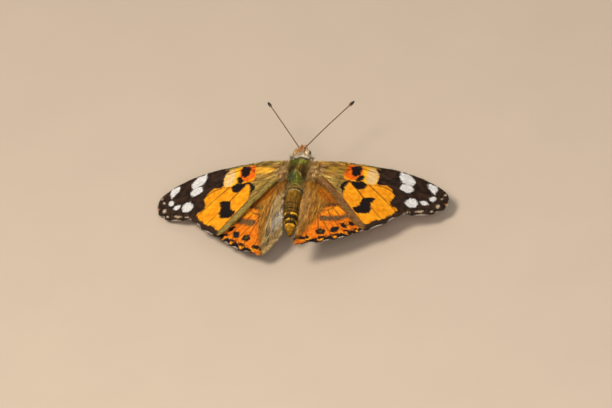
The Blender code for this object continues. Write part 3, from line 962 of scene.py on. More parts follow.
@dataclass(frozen=True)
class WingPlan:
    """The shape of one pair of wings, in each wing's own plan.

    Args:
        kind: The name that the wing's pieces start with.
        base: The hinge of the right wing in the body's frame.
        span: The length over which the bend is told.
        bend: How far the tip is bent down.
        lift: How far the skin's top lies above the middle of the plain plate.
        knots: The outline, from the front of the root round the tip.
        inner: The rest of the outline, back to the root, for each side.
        veins: The main veins, each from its root outwards.
        vein_ends: The veins that end on the scalloped margin.
        fringe_ends: Where the fringe starts and stops.
        pose: Twist, droop and sweep of each side, in degrees.
        columns_along: The plan axis that the skin's columns follow.
        facets: Faces of the skin along and across.
        fold: Height of the fold along the inner margin, how far in it lies and its half
            width, for each side.
        root_rise: How far the membrane is arched up round the hinge.
        scallop: How deep the margin is cut between two vein ends.
        fringe_inset: How far the membrane stops short of the outline, for the fringe.
        vein_height: How far the membrane is raised along a vein.
        hollow: How far it sinks between veins.
        ripple: How far it waves up and down.
    """

    kind: str
    base: Triple
    span: float
    bend: float
    lift: float
    knots: Knots
    inner: dict[Side, Knots]
    veins: dict[str, Knots]
    vein_ends: tuple[str, ...]
    fringe_ends: tuple[tuple[float, float], tuple[float, float]]
    pose: dict[Side, Triple]
    columns_along: int
    facets: tuple[int, int]
    fold: dict[Side, Triple] = field(default_factory=dict)
    root_rise: float = 0.0
    scallop: float = 0.3
    fringe_inset: float = 0.26
    vein_height: float = 0.06
    hollow: float = 0.07
    ripple: float = 0.05

    def outline(self, side: Side) -> tuple[Points, Points]:
        """Return the membrane's outline, and how much fringe each of its points carries."""
        line = smooth_route(self.knots + self.inner[side], 14)
        ends = np.array([self.veins[key][-1] for key in self.vein_ends])
        marks = sorted({int(np.argmin(np.linalg.norm(line - end, axis=1))) for end in ends})
        first, last = (int(np.argmin(np.linalg.norm(line - np.array(end), axis=1)))
                       for end in self.fringe_ends)
        index = np.arange(len(line))
        carries = np.clip((index - first) / 10.0, 0, 1) * np.clip((last - index) / 10.0, 0, 1)
        heading = unit(np.gradient(line, axis=0))
        inward = np.column_stack([heading[:, 1], -heading[:, 0]])
        depth = carries * self.fringe_inset
        for start, stop in zip(marks, marks[1:]):
            span = slice(start, stop + 1)
            depth[span] += self.scallop * np.sin(math.pi * (index[span] - start) / (stop - start))
        return line + inward * depth[:, None], carries

    def vein_lines(self) -> dict[str, Points]:
        """Return each vein as a smooth line."""
        return {name: smooth_route(knots, 6) for name, knots in self.veins.items()}

    def vein_distance(self, plan: Points) -> Points:
        """Return how far each plan point lies from the nearest vein."""
        return np.min([line_distance(plan, line)[0] for line in self.vein_lines().values()],
                      axis=0)

    def relief(self, plan: Points, near_vein: Points, side: Side) -> Points:
        """Return how far the membrane stands above its middle surface.

        Args:
            plan: Places in plan.
            near_vein: Their distance to the nearest vein.
            side: Which wing of the pair.

        Returns:
            The height of each place.
        """
        x, y = plan[:, 0], plan[:, 1]
        height = self.vein_height * np.exp(-(near_vein / 0.3) ** 2)
        height = height - self.hollow * (1 - np.exp(-near_vein / 1.1))
        height += self.ripple * np.sin(0.9 * x + 0.5 * y) * np.sin(0.7 * y - 0.35 * x + side.value)
        height += self.root_rise * np.exp(-(x / 3.4) ** 2 - ((y + 1.0) / 2.8) ** 2)
        if side in self.fold:
            rise, inset, half = self.fold[side]
            away, _ = line_distance(plan, smooth_route(self.inner[side], 6))
            fade = np.clip((-y - 1.0) / 4.0, 0, 1) * np.clip((19.0 + y) / 3.0, 0, 1)
            height += rise * np.exp(-((away - inset) / half) ** 2) * fade
        return height

    def surface(self, plan: Points, side: Side, height: Points | float = 0.0) -> Points:
        """Put plan points on the held wing.

        Args:
            plan: Places in plan.
            side: Which wing of the pair.
            height: How far above the middle surface each one lies.

        Returns:
            The places in the world, in millimetres.
        """
        twist, droop, sweep = self.pose[side]
        z = self.lift - self.bend * (plan[:, 0] / self.span) ** 2 + height
        turn = rotation("Z", -sweep) @ rotation("Y", droop) @ rotation("X", twist)
        points = np.column_stack([plan, z]) @ turn.T + np.array(self.base)
        points[:, 0] *= side.value
        return STANCE.world(points)

    def sheet(self, side: Side) -> Callable[[Points, Points], Points]:
        """Return what gives a plan point for shares along and across the wing."""
        loop = self.outline(side)[0]
        axis = self.columns_along
        run = loop[:, axis]
        low, high = int(np.argmin(run)), int(np.argmax(run))
        ring = np.roll(loop, -low, axis=0)
        turn = (high - low) % len(loop)
        chains = [ring[:turn + 1], np.vstack([ring[turn:], ring[:1]])[::-1]]
        tracks = [(np.maximum.accumulate(chain[:, axis]), chain[:, 1 - axis]) for chain in chains]

        def plan_point(s: Points, t: Points) -> Points:
            """Return the plan point at shares along and across the wing."""
            eased = 0.15 * s + 0.85 * 0.5 * (1.0 - np.cos(math.pi * s))
            along = run.min() + (run.max() - run.min()) * eased
            sides = [np.interp(along, *track) for track in tracks]
            across = sides[0] * (1.0 - t) + sides[1] * t
            pair = (along, across) if axis == 0 else (across, along)
            return np.column_stack(pair)

        return plan_point


FOREWING = WingPlan(
    kind="forewing", base=(2.4, 0.8, 1.6), span=28.0, bend=1.98, lift=-0.04,
    knots=(
        (-0.9, 1.1), (1.2, 1.7), (4.8, 2.75), (8.0, 3.15), (11.6, 3.5), (16.2, 3.95),
        (19.6, 3.8), (22.6, 3.45), (25.6, 2.65), (28.0, 1.5), (29.15, -0.1), (29.0, -1.9),
        (27.9, -3.6), (26.2, -5.3), (24.0, -6.25), (21.6, -6.95), (20.1, -8.5),
        (18.9, -10.2), (17.4, -11.9), (16.0, -13.2)),
    inner=dict.fromkeys(Side, (
        (15.0, -13.3), (13.0, -12.1), (9.8, -9.1), (6.6, -6.1), (3.6, -3.6), (1.0, -1.9),
        (-0.9, -1.3))),
    veins={
        "costa": ((0.2, 1.35), (4.8, 2.65), (8.0, 3.05), (11.6, 3.4), (16.2, 3.85),
                  (19.6, 3.7), (22.6, 3.35), (25.6, 2.55)),
        "subcosta": ((0.4, 1.2), (5.0, 2.4), (10.0, 2.95), (15.6, 3.6)),
        "radius": ((0.3, 0.5), (5.0, 1.7), (9.5, 2.2), (13.8, 2.1), (20.0, 2.6), (28.0, 0.9)),
        "media_1": ((13.8, 2.1), (16.5, 1.4), (19.6, 1.1), (23.4, -0.2), (28.6, -2.9)),
        "media_2": ((13.9, 0.2), (18.0, -0.6), (22.2, -2.2), (26.9, -4.8)),
        "cell_end": ((13.8, 2.1), (14.1, 0.7), (13.9, -1.0)),
        "cubitus": ((0.3, -0.3), (3.9, -0.7), (6.6, -1.2), (8.7, -1.7), (12.5, -1.5),
                    (13.9, -1.0)),
        "media_3": ((13.9, -1.0), (16.8, -1.5), (20.0, -3.6), (23.0, -6.7)),
        "cubitus_1": ((12.5, -1.5), (14.3, -2.7), (18.0, -5.3), (20.8, -7.6)),
        "cubitus_2": ((8.7, -1.7), (12.3, -5.0), (15.6, -7.9), (18.9, -10.4)),
        "anal": ((0.5, -0.9), (4.6, -3.7), (9.2, -7.1), (13.0, -10.4), (15.6, -13.0))},
    vein_ends=("radius", "media_1", "media_2", "media_3", "cubitus_1", "cubitus_2", "anal"),
    fringe_ends=((27.6, 1.8), (14.6, -13.1)),
    pose={Side.RIGHT: (-4.0, 6.6, 7.5), Side.LEFT: (1.1, 10.6, 9.2)},
    columns_along=0, facets=(210, 92))

HINDWING = WingPlan(
    kind="hindwing", base=(2.3, -1.3, -0.3), span=20.0, bend=1.87, lift=0.16,
    knots=(
        (-0.5, 0.9), (2.0, 1.5), (6.0, 1.0), (10.0, -0.6), (13.4, -3.3), (15.2, -6.4),
        (15.3, -9.2), (14.2, -11.6), (12.5, -13.6), (10.4, -15.3), (8.2, -16.8),
        (5.6, -18.2)),
    inner={
        Side.RIGHT: (
            (3.6, -18.9), (2.4, -19.3), (1.6, -18.9), (1.3, -17.2), (1.3, -15.1),
            (0.9, -11.9), (0.35, -8.6), (0.0, -5.7), (-0.1, -3.8), (-0.5, -2.2)),
        Side.LEFT: (
            (3.0, -18.9), (1.2, -18.8), (0.35, -18.1), (-0.15, -17.0), (-0.9, -15.7),
            (-1.55, -14.4), (-1.7, -13.2), (-1.3, -11.6), (-0.65, -8.9), (-0.15, -6.0),
            (0.1, -4.0), (-0.5, -2.2))},
    veins={
        "subcosta": ((0.6, 0.0), (6.0, -1.3), (11.0, -4.0), (15.3, -7.6)),
        "radial_sector": ((0.6, -0.4), (4.6, -4.4), (9.5, -8.0), (14.4, -11.2)),
        "media_1": ((4.6, -4.4), (6.4, -7.2), (10.2, -11.2), (12.9, -13.2)),
        "media_2": ((5.4, -8.1), (8.8, -12.4), (11.5, -14.5)),
        "cell_end": ((6.4, -7.2), (5.4, -8.1), (3.6, -8.6)),
        "cubitus": ((0.6, -0.9), (1.7, -4.5), (3.6, -8.6)),
        "media_3": ((3.6, -8.6), (7.0, -13.9), (9.1, -16.3)),
        "cubitus_1": ((3.6, -8.6), (4.9, -13.5), (6.1, -17.9)),
        "cubitus_2": ((1.9, -5.2), (2.7, -12.0), (3.3, -18.7))},
    vein_ends=("subcosta", "radial_sector", "media_1", "media_2", "media_3", "cubitus_1",
               "cubitus_2"),
    fringe_ends=((14.6, -5.0), (1.9, -18.8)),
    pose={Side.RIGHT: (-8.8, 5.3, 3.2), Side.LEFT: (1.1, 10.1, -3.4)},
    columns_along=1, facets=(160, 118),
    fold={Side.RIGHT: (0.55, 0.7, 0.5), Side.LEFT: (0.4, 1.1, 0.7)}, root_rise=0.75)

FOREWING_FIELDS: dict[str, tuple[Region, ...]] = {
    "disc": (Patch((
        (6.5, 2.2), (8.5, 2.85), (10.0, 3.1), (11.9, 3.15), (12.9, 2.45), (13.6, 1.2),
        (13.8, 0.1), (14.1, -0.75), (15.1, -0.75), (15.9, -0.45), (17.2, -1.4),
        (18.05, -2.8), (17.75, -4.3), (18.4, -5.45), (19.7, -5.75), (19.35, -7.1),
        (18.4, -8.3), (17.4, -9.6), (16.1, -10.1), (15.6, -11.1), (14.6, -11.8),
        (13.2, -10.9), (11.2, -8.8), (9.3, -7.1), (8.2, -5.5), (7.9, -3.7), (7.9, -2.3),
        (6.9, -1.1), (6.6, 0.6))),),
    "gold": (Patch((
        (9.7, 3.0), (10.9, 3.3), (11.9, 3.15), (12.9, 2.4), (13.55, 1.1), (13.7, -0.2),
        (13.5, -0.95), (12.4, -1.35), (11.0, -1.2), (10.75, 0.2), (10.0, 1.0),
        (9.85, 2.0))),),
    "pale": (Patch((
        (11.5, 3.0), (12.9, 2.3), (13.5, 1.1), (13.6, -0.2), (13.3, -0.9), (12.2, -1.1),
        (11.5, -0.4), (11.2, 1.2))),),
    "blush": (Patch((
        (6.7, 2.1), (7.6, 2.7), (9.6, 2.9), (10.2, 2.1), (10.3, 1.0), (10.6, 0.2),
        (10.2, -0.5), (9.3, -0.95), (8.0, -0.9), (7.0, -0.6), (6.55, 0.6))),),
    "rust": (Oval(7.15, 1.15, 0.42, 0.3, 70.0),),
    "tegula": (Oval(0.8, -0.1, 2.1, 0.95, 96.0),),
    "cell": (Patch((
        (2.0, 1.0), (4.2, 1.7), (6.4, 2.1), (6.9, 1.3), (6.7, 0.3), (5.2, -0.2),
        (3.9, -0.6), (2.3, 0.0))),),
    "base": (Patch((
        (-1.5, 2.6), (1.2, 3.0), (4.8, 3.6), (6.7, 3.4), (6.4, 2.2), (6.5, 0.6),
        (6.9, -1.1), (8.0, -2.3), (7.8, -3.7), (8.1, -5.5), (9.2, -7.1), (11.2, -8.9),
        (13.2, -11.0), (14.7, -12.2), (14.0, -14.0), (8.0, -9.6), (0.0, -4.0),
        (-2.5, -2.0))),),
    "stripe": (Stripe(((2.2, -2.5), (5.6, -4.7), (9.0, -7.8), (12.4, -11.0), (14.2, -12.5)),
                      0.72),),
    "costal": (Stripe(((0.6, 1.5), (4.8, 2.55), (9.0, 3.0), (13.2, 3.35)), 0.2),),
    "ink": (
        Patch(((7.85, 2.2), (8.6, 2.55), (9.6, 2.7), (9.75, 1.5), (9.6, 0.7), (9.1, 0.1),
               (8.4, 0.25), (8.0, 1.0))),
        Patch(((10.8, 0.45), (10.2, 0.5), (9.5, -0.5), (9.7, -1.2), (10.4, -1.2),
               (10.75, -0.3))),
        Patch(((9.2, -1.65), (10.35, -1.1), (10.9, -1.0), (12.0, -1.65), (11.5, -2.8),
               (10.5, -3.25), (9.8, -2.7), (8.9, -1.95))),
        Patch(((8.3, -1.6), (7.7, -1.85), (7.1, -2.7), (7.0, -3.7), (7.8, -4.15), (8.05, -3.8),
               (7.75, -3.2), (8.1, -2.2))),
        Patch(((12.4, -5.1), (14.5, -4.5), (14.4, -5.4), (14.2, -6.3), (14.6, -7.3),
               (14.5, -8.5), (12.4, -9.3), (11.2, -8.2), (12.2, -7.3), (12.2, -6.2))),
        Stripe(((8.1, -1.7), (9.4, -1.75)), 0.16),
        Oval(14.35, -0.3, 0.55, 0.45)),
    "white": (
        Patch(((17.5, 3.75), (18.9, 3.8), (20.1, 3.15), (20.9, 2.3), (20.75, 1.35),
               (19.75, 1.2), (18.6, 1.25), (18.0, 1.9), (17.7, 2.7))),
        Patch(((18.35, -0.2), (18.65, 0.95), (19.7, 1.05), (20.6, 0.95), (21.05, 0.2),
               (20.8, -0.65), (19.9, -1.0), (19.1, -0.75))),
        Patch(((23.4, 2.6), (24.1, 2.85), (25.2, 2.6), (25.7, 2.0), (25.55, 0.9),
               (25.3, 0.5), (24.7, 1.0), (23.85, 1.65))),
        Oval(25.45, -0.85, 0.72, 0.58, 60.0),
        Oval(24.15, -2.45, 0.78, 0.62, 15.0),
        Patch(((20.5, -3.65), (20.9, -2.6), (21.5, -2.05), (22.5, -2.35), (23.1, -3.1),
               (22.55, -4.15), (21.5, -4.35)))),
    "cream": (
        Oval(27.55, 1.15, 0.3, 0.16, 120.0), Oval(27.2, -0.05, 0.34, 0.24, 80.0),
        Oval(27.05, -2.15, 0.5, 0.36, 60.0), Oval(26.3, -3.9, 0.34, 0.24, 40.0),
        Oval(24.0, -4.85, 0.8, 0.22, 24.0), Oval(21.65, -6.2, 0.7, 0.25, 42.0)),
    "amber": (
        Oval(28.0, -3.05, 0.28, 0.18, 50.0), Oval(28.4, -1.3, 0.3, 0.18, 95.0),
        Oval(24.5, -5.45, 0.5, 0.16, 24.0), Oval(21.6, -6.65, 0.4, 0.14, 38.0)),
}

HINDWING_FIELDS: dict[str, tuple[Region, ...]] = {
    "disc": (Oval(8.0, -9.0, 30.0, 30.0),),
    # Painted highlight: a pale streak over the hair of the left hindwing's fold.
    "bloom": (Oval(-0.3, -9.9, 2.9, 0.9, 96.0),),
    "lunule": (Stripe(((13.9, -10.5), (12.4, -12.4), (10.6, -13.8), (8.8, -15.15), (6.7, -16.45),
                       (4.4, -17.3), (2.6, -17.7)), 0.3),),
    "base": (Patch((
        (-2.0, 3.0), (6.0, 2.0), (11.0, 0.0), (12.6, -3.5), (11.6, -6.6), (9.4, -6.4),
        (7.4, -5.6), (5.4, -6.4), (4.5, -8.6), (3.9, -11.0), (3.0, -13.6), (2.3, -16.4),
        (1.3, -19.5), (-2.5, -19.5), (-2.5, -8.0))),),
    "ember": (Patch(((2.2, -1.6), (5.6, -2.4), (8.0, -4.2), (7.0, -5.3), (4.9, -5.4),
                     (3.0, -3.8))),),
    "patch": (Patch((
        (4.9, -7.2), (6.2, -6.9), (7.5, -6.2), (8.2, -7.2), (8.2, -8.3), (7.6, -9.0),
        (6.2, -8.8), (5.3, -8.9))),),
    "shade": (Patch(((4.6, -6.2), (6.0, -5.6), (7.6, -5.3), (7.4, -6.1), (6.2, -6.7),
                     (4.9, -7.0))),),
    "brown": (
        Patch(((4.3, -10.2), (5.6, -9.6), (7.3, -9.3), (8.2, -9.0), (8.7, -9.9),
               (8.0, -10.5), (6.3, -11.0), (4.8, -11.4))),
        Stripe(((8.4, -9.5), (10.0, -8.3), (11.6, -6.3), (12.2, -3.8)), 0.55)),
    "spot": (
        Oval(10.8, -10.6, 0.72, 0.42, -28.0), Oval(9.5, -11.55, 0.64, 0.42, -32.0),
        Oval(8.05, -13.3, 0.84, 0.62, 54.0), Oval(5.55, -14.45, 0.86, 0.78, 45.0)),
    "pupil": (Oval(5.5, -14.4, 0.46, 0.34, 40.0),),
    "gleam": (Oval(8.05, -13.3, 0.4, 0.24, 54.0),),
    "diamond": (
        Oval(10.55, -12.9, 0.6, 0.22, 32.0), Oval(8.42, -14.85, 0.76, 0.24, 34.0),
        Oval(6.15, -16.1, 0.92, 0.25, 34.0), Oval(12.05, -11.9, 0.48, 0.22, 40.0)),
    "edge": (
        Oval(13.15, -11.75, 0.68, 0.62, 50.0), Oval(11.55, -13.3, 0.76, 0.66, 46.0),
        Oval(9.85, -14.7, 0.8, 0.68, 40.0), Oval(7.45, -16.25, 0.9, 0.68, 36.0),
        Oval(4.7, -17.7, 1.0, 0.62, 24.0), Oval(14.5, -9.7, 0.6, 0.45, 80.0),
        Stripe(((3.3, -16.8), (2.6, -17.2), (1.6, -17.5)), 0.36)),
    "fold": (Patch((
        (-3.5, -1.5), (0.9, -3.0), (1.9, -6.0), (2.0, -10.0), (1.7, -14.0), (1.3, -17.0),
        (1.0, -19.0), (-1.0, -20.0), (-3.5, -16.0))),),
    "webbing": (Stripe(((2.0, 0.4), (6.0, -0.2), (10.4, -2.4), (13.6, -6.4)), 0.5),
                Stripe(((3.0, -11.4), (6.4, -10.9), (9.6, -9.0), (12.6, -6.6)), 0.32)),
}

FOREWING_GROUND = Paint("", (24, 13, 8), (66, 43, 27), CLOUDS)
HINDWING_GROUND = Paint("", (212, 100, 4), (238, 138, 18), CLOUDS)
FOREWING_UNDER_GROUND = Paint("", (132, 96, 62), (196, 160, 116), CLOUDS)
HINDWING_UNDER_GROUND = Paint("", (120, 98, 64), (196, 176, 138), CLOUDS)
INK = ((12, 6, 8), (36, 22, 18))
FRINGE = Paint("fringe", (100, 86, 72), (206, 194, 178), SCALES, 0.08, 0.2)
VEIN = Paint("line", (104, 44, 8), (156, 80, 14), SCALES, 0.04, 0.08, 0.08, 0.85)


def forewing_paints(side: Side) -> tuple[Paint, ...]:
    """Return the markings of a forewing's upper side, from the lowest up."""
    # The cell and the stripe are one marking on both wings. They are painted lighter on the left
    # and darker on the right, as painted light and shade.
    cell = {Side.LEFT: ((214, 140, 18), (252, 202, 74)),
            Side.RIGHT: ((112, 84, 26), (214, 164, 62))}[side]
    costal = {Side.LEFT: ((62, 64, 40), (196, 166, 78)),
              Side.RIGHT: ((74, 62, 40), (222, 172, 70))}[side]
    stripe = {Side.LEFT: ((82, 76, 28), (188, 158, 82)),
              Side.RIGHT: ((50, 30, 16), (172, 122, 66))}[side]
    return (
        Paint("disc", (234, 140, 0), (252, 174, 26), CLOUDS, 0.06, 0.14),
        Paint("gold", (242, 172, 8), (252, 198, 40), CLOUDS, 0.25, 0.2),
        Paint("pale", (228, 180, 98), (246, 214, 156), STREAKS, 0.3, 0.2),
        Paint("blush", (228, 86, 0), (244, 122, 2), CLOUDS, 0.22, 0.2),
        Paint("base", (62, 48, 12), (216, 174, 84), STREAKS, 0.42, 0.5),
        Paint("cell", *cell, STREAKS, 0.25, 0.3),
        Paint("stripe", *stripe, STREAKS, 0.25, 0.3),
        Paint("rust", (140, 48, 8), (186, 76, 10), SCALES, 0.1, 0.12),
        Paint("tegula", (92, 68, 32), (212, 172, 112), STREAKS, 0.3, 0.4),
        VEIN,
        Paint("costal", *costal, STREAKS, 0.14, 0.2),
        Paint("ink", *INK, reach=0.06),
        Paint("white", (212, 206, 200), (240, 237, 232), SCALES, 0.05, 0.12),
        Paint("cream", (190, 162, 130), (234, 216, 188), SCALES, 0.08, 0.2, -0.03),
        Paint("amber", (186, 104, 20), (220, 152, 56), SCALES, 0.06, 0.16, -0.03),
        Paint("rim", (20, 12, 8), (52, 34, 24), SCALES, 0.03, 0.06, 0.08),
        FRINGE,
    )


def hindwing_paints(side: Side) -> tuple[Paint, ...]:
    """Return the markings of a hindwing's upper side, from the lowest up."""
    fold = {Side.LEFT: ((62, 44, 18), (208, 172, 112)),
            Side.RIGHT: ((70, 44, 14), (218, 162, 84))}[side]
    # Only the left wing has the pale streak on its fold, which is a painted highlight.
    bloom = {Side.LEFT: (Paint("bloom", (78, 62, 46), (220, 204, 178), STREAKS, 0.5, 0.5),),
             Side.RIGHT: ()}[side]
    return (
        Paint("lunule", (236, 148, 14), (252, 184, 40), SCALES, 0.14, 0.2),
        Paint("base", (72, 44, 10), (204, 142, 50), STREAKS, 0.5, 0.5),
        Paint("ember", (206, 116, 14), (146, 88, 18), STREAKS, 0.6, 0.4),
        Paint("patch", (222, 124, 6), (248, 166, 28), CLOUDS, 0.2, 0.25),
        Paint("shade", (56, 34, 12), (112, 76, 30), STREAKS, 0.3, 0.3),
        Paint("brown", (62, 44, 24), (140, 106, 62), STREAKS, 0.28, 0.3),
        VEIN,
        Paint("fold", *fold, STREAKS, 0.5, 0.4),
        *bloom,
        Paint("spot", *INK, SCALES, 0.05, 0.1, 0.12),
        Paint("pupil", (66, 72, 26), (112, 96, 44), SCALES, 0.16, 0.2, cover=0.7),
        Paint("gleam", (14, 36, 52), (30, 58, 76), SCALES, 0.1, 0.16, cover=0.75),
        Paint("diamond", (26, 8, 16), (58, 22, 22), SCALES, 0.05, 0.1, 0.08),
        Paint("edge", *INK, SCALES, 0.05, 0.12, 0.12),
        Paint("rim", (20, 12, 8), (60, 38, 20), SCALES, 0.03, 0.06, 0.12),
        FRINGE,
    )


def forewing_under_paints() -> tuple[Paint, ...]:
    """Return the markings of a forewing's underside, which is pinker and paler."""
    return (
        Paint("disc", (232, 110, 50), (246, 140, 76), CLOUDS, 0.2, 0.2),
        Paint("pale", (250, 190, 130), (255, 214, 170), CLOUDS, 0.3, 0.2),
        Paint("blush", (226, 84, 40), (240, 110, 66), CLOUDS, 0.3, 0.2),
        Paint("base", (206, 110, 62), (236, 150, 96), STREAKS, 0.6, 0.3),
        Paint("costal", (190, 170, 140), (236, 224, 200), SCALES, 0.2, 0.2),
        Paint("ink", *INK, SCALES, 0.08, 0.16, -0.08),
        Paint("white", (236, 228, 220), (255, 250, 244), SCALES, 0.06, 0.12, 0.08),
        Paint("cream", (226, 208, 180), (246, 234, 214), SCALES, 0.08, 0.12, 0.1),
        Paint("vein", (150, 120, 86), (206, 184, 150), SCALES, 0.05, 0.08, 0.1, 0.6),
    )


def hindwing_under_paints() -> tuple[Paint, ...]:
    """Return the marbled markings of a hindwing's underside, with its row of eyespots."""
    return (
        Paint("base", (112, 88, 52), (214, 198, 164), CLOUDS, 0.6, 0.5, 0.4),
        Paint("patch", (222, 208, 180), (246, 238, 220), CLOUDS, 0.3, 0.3),
        Paint("shade", (92, 72, 40), (150, 124, 82), CLOUDS, 0.3, 0.3, 0.1),
        Paint("brown", (104, 84, 50), (150, 128, 88), CLOUDS, 0.25, 0.3),
        Paint("webbing", (226, 212, 186), (250, 244, 228), CLOUDS, 0.15, 0.3),
        Paint("fold", (206, 186, 154), (232, 218, 194), STREAKS, 0.6, 0.4),
        Paint("spot", (206, 166, 66), (226, 190, 96), SCALES, 0.06, 0.12, 0.34),
        Paint("spot", (40, 30, 20), (70, 54, 36), SCALES, 0.05, 0.12, 0.12),
        Paint("spot", (70, 92, 98), (110, 130, 110), SCALES, 0.06, 0.12, -0.12),
        Paint("diamond", (96, 124, 150), (150, 166, 176), SCALES, 0.06, 0.12),
        Paint("edge", (120, 96, 66), (170, 146, 108), SCALES, 0.1, 0.2),
        Paint("vein", (232, 222, 198), (250, 244, 230), SCALES, 0.06, 0.1, 0.14, 0.85),
    )


@dataclass
class Wing:
    """One wing: its skin, veins, fringe and hair.

    Args:
        plan: The shape of the pair.
        side: Which one of the pair.
        fields: The regions that its markings are drawn from.
        upper: The finish of its upper side.
        under: The finish of its underside.
        hair: The finish of its hair and fringe.
    """

    plan: WingPlan
    side: Side
    fields: dict[str, tuple[Region, ...]]
    upper: Material
    under: Material
    hair: Material
    thickness: float = 0.12
    vein_radius: float = 0.125
    vein_tip_radius: float = 0.05
    fringe_spacing: float = 0.028
    unwrap_shift: tuple[float, float] = (4.0, 21.0)
    unwrap_side: float = 36.0
    fringe_shape: TuftShape = TuftShape(0.34, 0.07, 0.04, 0.0, 2, 0.12, 0.0)

    @property
    def name(self) -> str:
        """The name of the node that the wing stands for."""
        return f"{self.plan.kind}_{self.side.label}"

    def unwrap(self, plan: Points) -> Points:
        """Return where plan points lie on the flat unwrap of the wing, from 0 to 1."""
        return np.clip((plan + self.unwrap_shift) / self.unwrap_side, 0.01, 0.99)

    def values(self, plan: Points) -> dict[str, Points]:
        """Measure every field at plan points.

        Args:
            plan: Places in plan.

        Returns:
            The values of each field, by name.
        """
        loop, carries = self.plan.outline(self.side)
        found = {name: measure(regions, plan) for name, regions in self.fields.items()}
        found["margin"] = -loop_distance(plan, loop)
        found["rim"] = line_distance(plan, loop[carries > 0.4])[0]
        found["vein"] = self.plan.vein_distance(plan)
        found["line"] = np.maximum(found["vein"], np.minimum(found["disc"], found["base"]))
        found["fringe"] = np.full(len(plan), 1.0)
        found["plan"] = np.column_stack([plan, np.zeros(len(plan))])
        return found

    def build(self, rng: np.random.Generator) -> None:
        """Build every piece of the wing.

        Args:
            rng: The seeded source of chance.
        """
        plan_point = self.plan.sheet(self.side)
        along, across = self.plan.facets
        kept: dict[str, Points] = {}

        def place(s: Points, t: Points) -> Points:
            """Return the skin's place at shares along and across the wing."""
            plan = plan_point(s, t)
            kept.update(self.values(plan))
            height = self.plan.relief(plan, kept["vein"], self.side)
            return self.plan.surface(plan, self.side, height)

        mesh = mapped_grid(self.name + "_skin", along, across, place)
        add_values(mesh, kept)
        bm = bmesh.new()
        bm.from_mesh(mesh)
        bm.normal_update()
        if sum(face.normal.z for face in bm.faces) < 0.0:
            bmesh.ops.reverse_faces(bm, faces=bm.faces)
            bm.to_mesh(mesh)
        bm.free()
        skin = new_object(mesh.name, mesh)
        wall = skin.modifiers.new("thickness", "SOLIDIFY")
        wall.thickness = self.thickness * MM
        wall.offset = -1.0
        wall.material_offset = 1
        wall.material_offset_rim = 0
        finish_piece(skin, [self.upper, self.under], "wing_scales", self.name)
        self.build_veins()
        self.build_fringe(rng)
        self.build_hair(mesh, kept, rng)

    def build_veins(self) -> None:
        """Lay each vein as a thin tapered tube, half sunk in the membrane."""
        tubes, plans = [], []
        for name, line in self.plan.vein_lines().items():
            share = np.linspace(0.0, 1.0, len(line))
            radii = self.vein_radius * (1 - share) + self.vein_tip_radius * share
            if name == "costa":
                radii = radii * 1.35
            height = self.plan.relief(line, np.zeros(len(line)), self.side)
            route = self.plan.surface(line, self.side, height - 0.02)
            tubes.append(tube_mesh(name, route, radii))
            points = read_points(tubes[-1])
            nearest = np.argmin(((points[:, None, :] - route[None]) ** 2).sum(axis=2), axis=1)
            plans.append(line[nearest])
        mesh = joined(self.name + "_veins", tubes)
        add_values(mesh, self.values(np.vstack(plans)))
        set_piece(mesh, [self.upper], "wing_scales")

    def build_fringe(self, rng: np.random.Generator) -> None:
        """Set the fringe of long scales on the outer margin, pale between the vein ends.

        Args:
            rng: The seeded source of chance.
        """
        line, carries = self.plan.outline(self.side)
        steps = np.linalg.norm(np.diff(line, axis=0), axis=1)
        reach = np.concatenate([[0.0], np.cumsum(steps)])
        stations = np.arange(0.0, reach[-1], self.fringe_spacing)
        stations = stations + rng.uniform(-0.5, 0.5, len(stations)) * self.fringe_spacing
        load = np.interp(stations, reach, carries)
        keep = load > 0.15
        stations, load = stations[keep], load[keep]
        plan = np.column_stack([np.interp(stations, reach, line[:, i]) for i in range(2)])
        ahead = np.column_stack([np.interp(stations + 0.05, reach, line[:, i]) for i in range(2)])
        heading = unit(ahead - plan + 1e-9)
        outward = np.column_stack([-heading[:, 1], heading[:, 0]])
        near = self.plan.vein_distance(plan)
        height = self.plan.relief(plan, near, self.side) - 0.5 * self.thickness
        root = self.plan.surface(plan - outward * 0.05, self.side, height)
        lie = unit(self.plan.surface(plan + outward, self.side, height) - root)
        side_step = self.plan.surface(ahead, self.side, height) - root
        normals = unit(np.cross(side_step, lie))
        normals *= np.sign(normals[:, 2:3])
        values = self.values(plan - outward * 0.15)
        values["fringe"] = 0.88 - near + rng.normal(0.0, 0.24, len(near))
        values["rim"] = np.zeros(len(plan))
        roots = Roots(root, normals, values)
        mesh = self.fringe_shape.grow(self.name + "_fringe", roots, lie, self.unwrap(plan), rng,
                                      load)
        set_piece(mesh, [self.hair], "wing_scales")

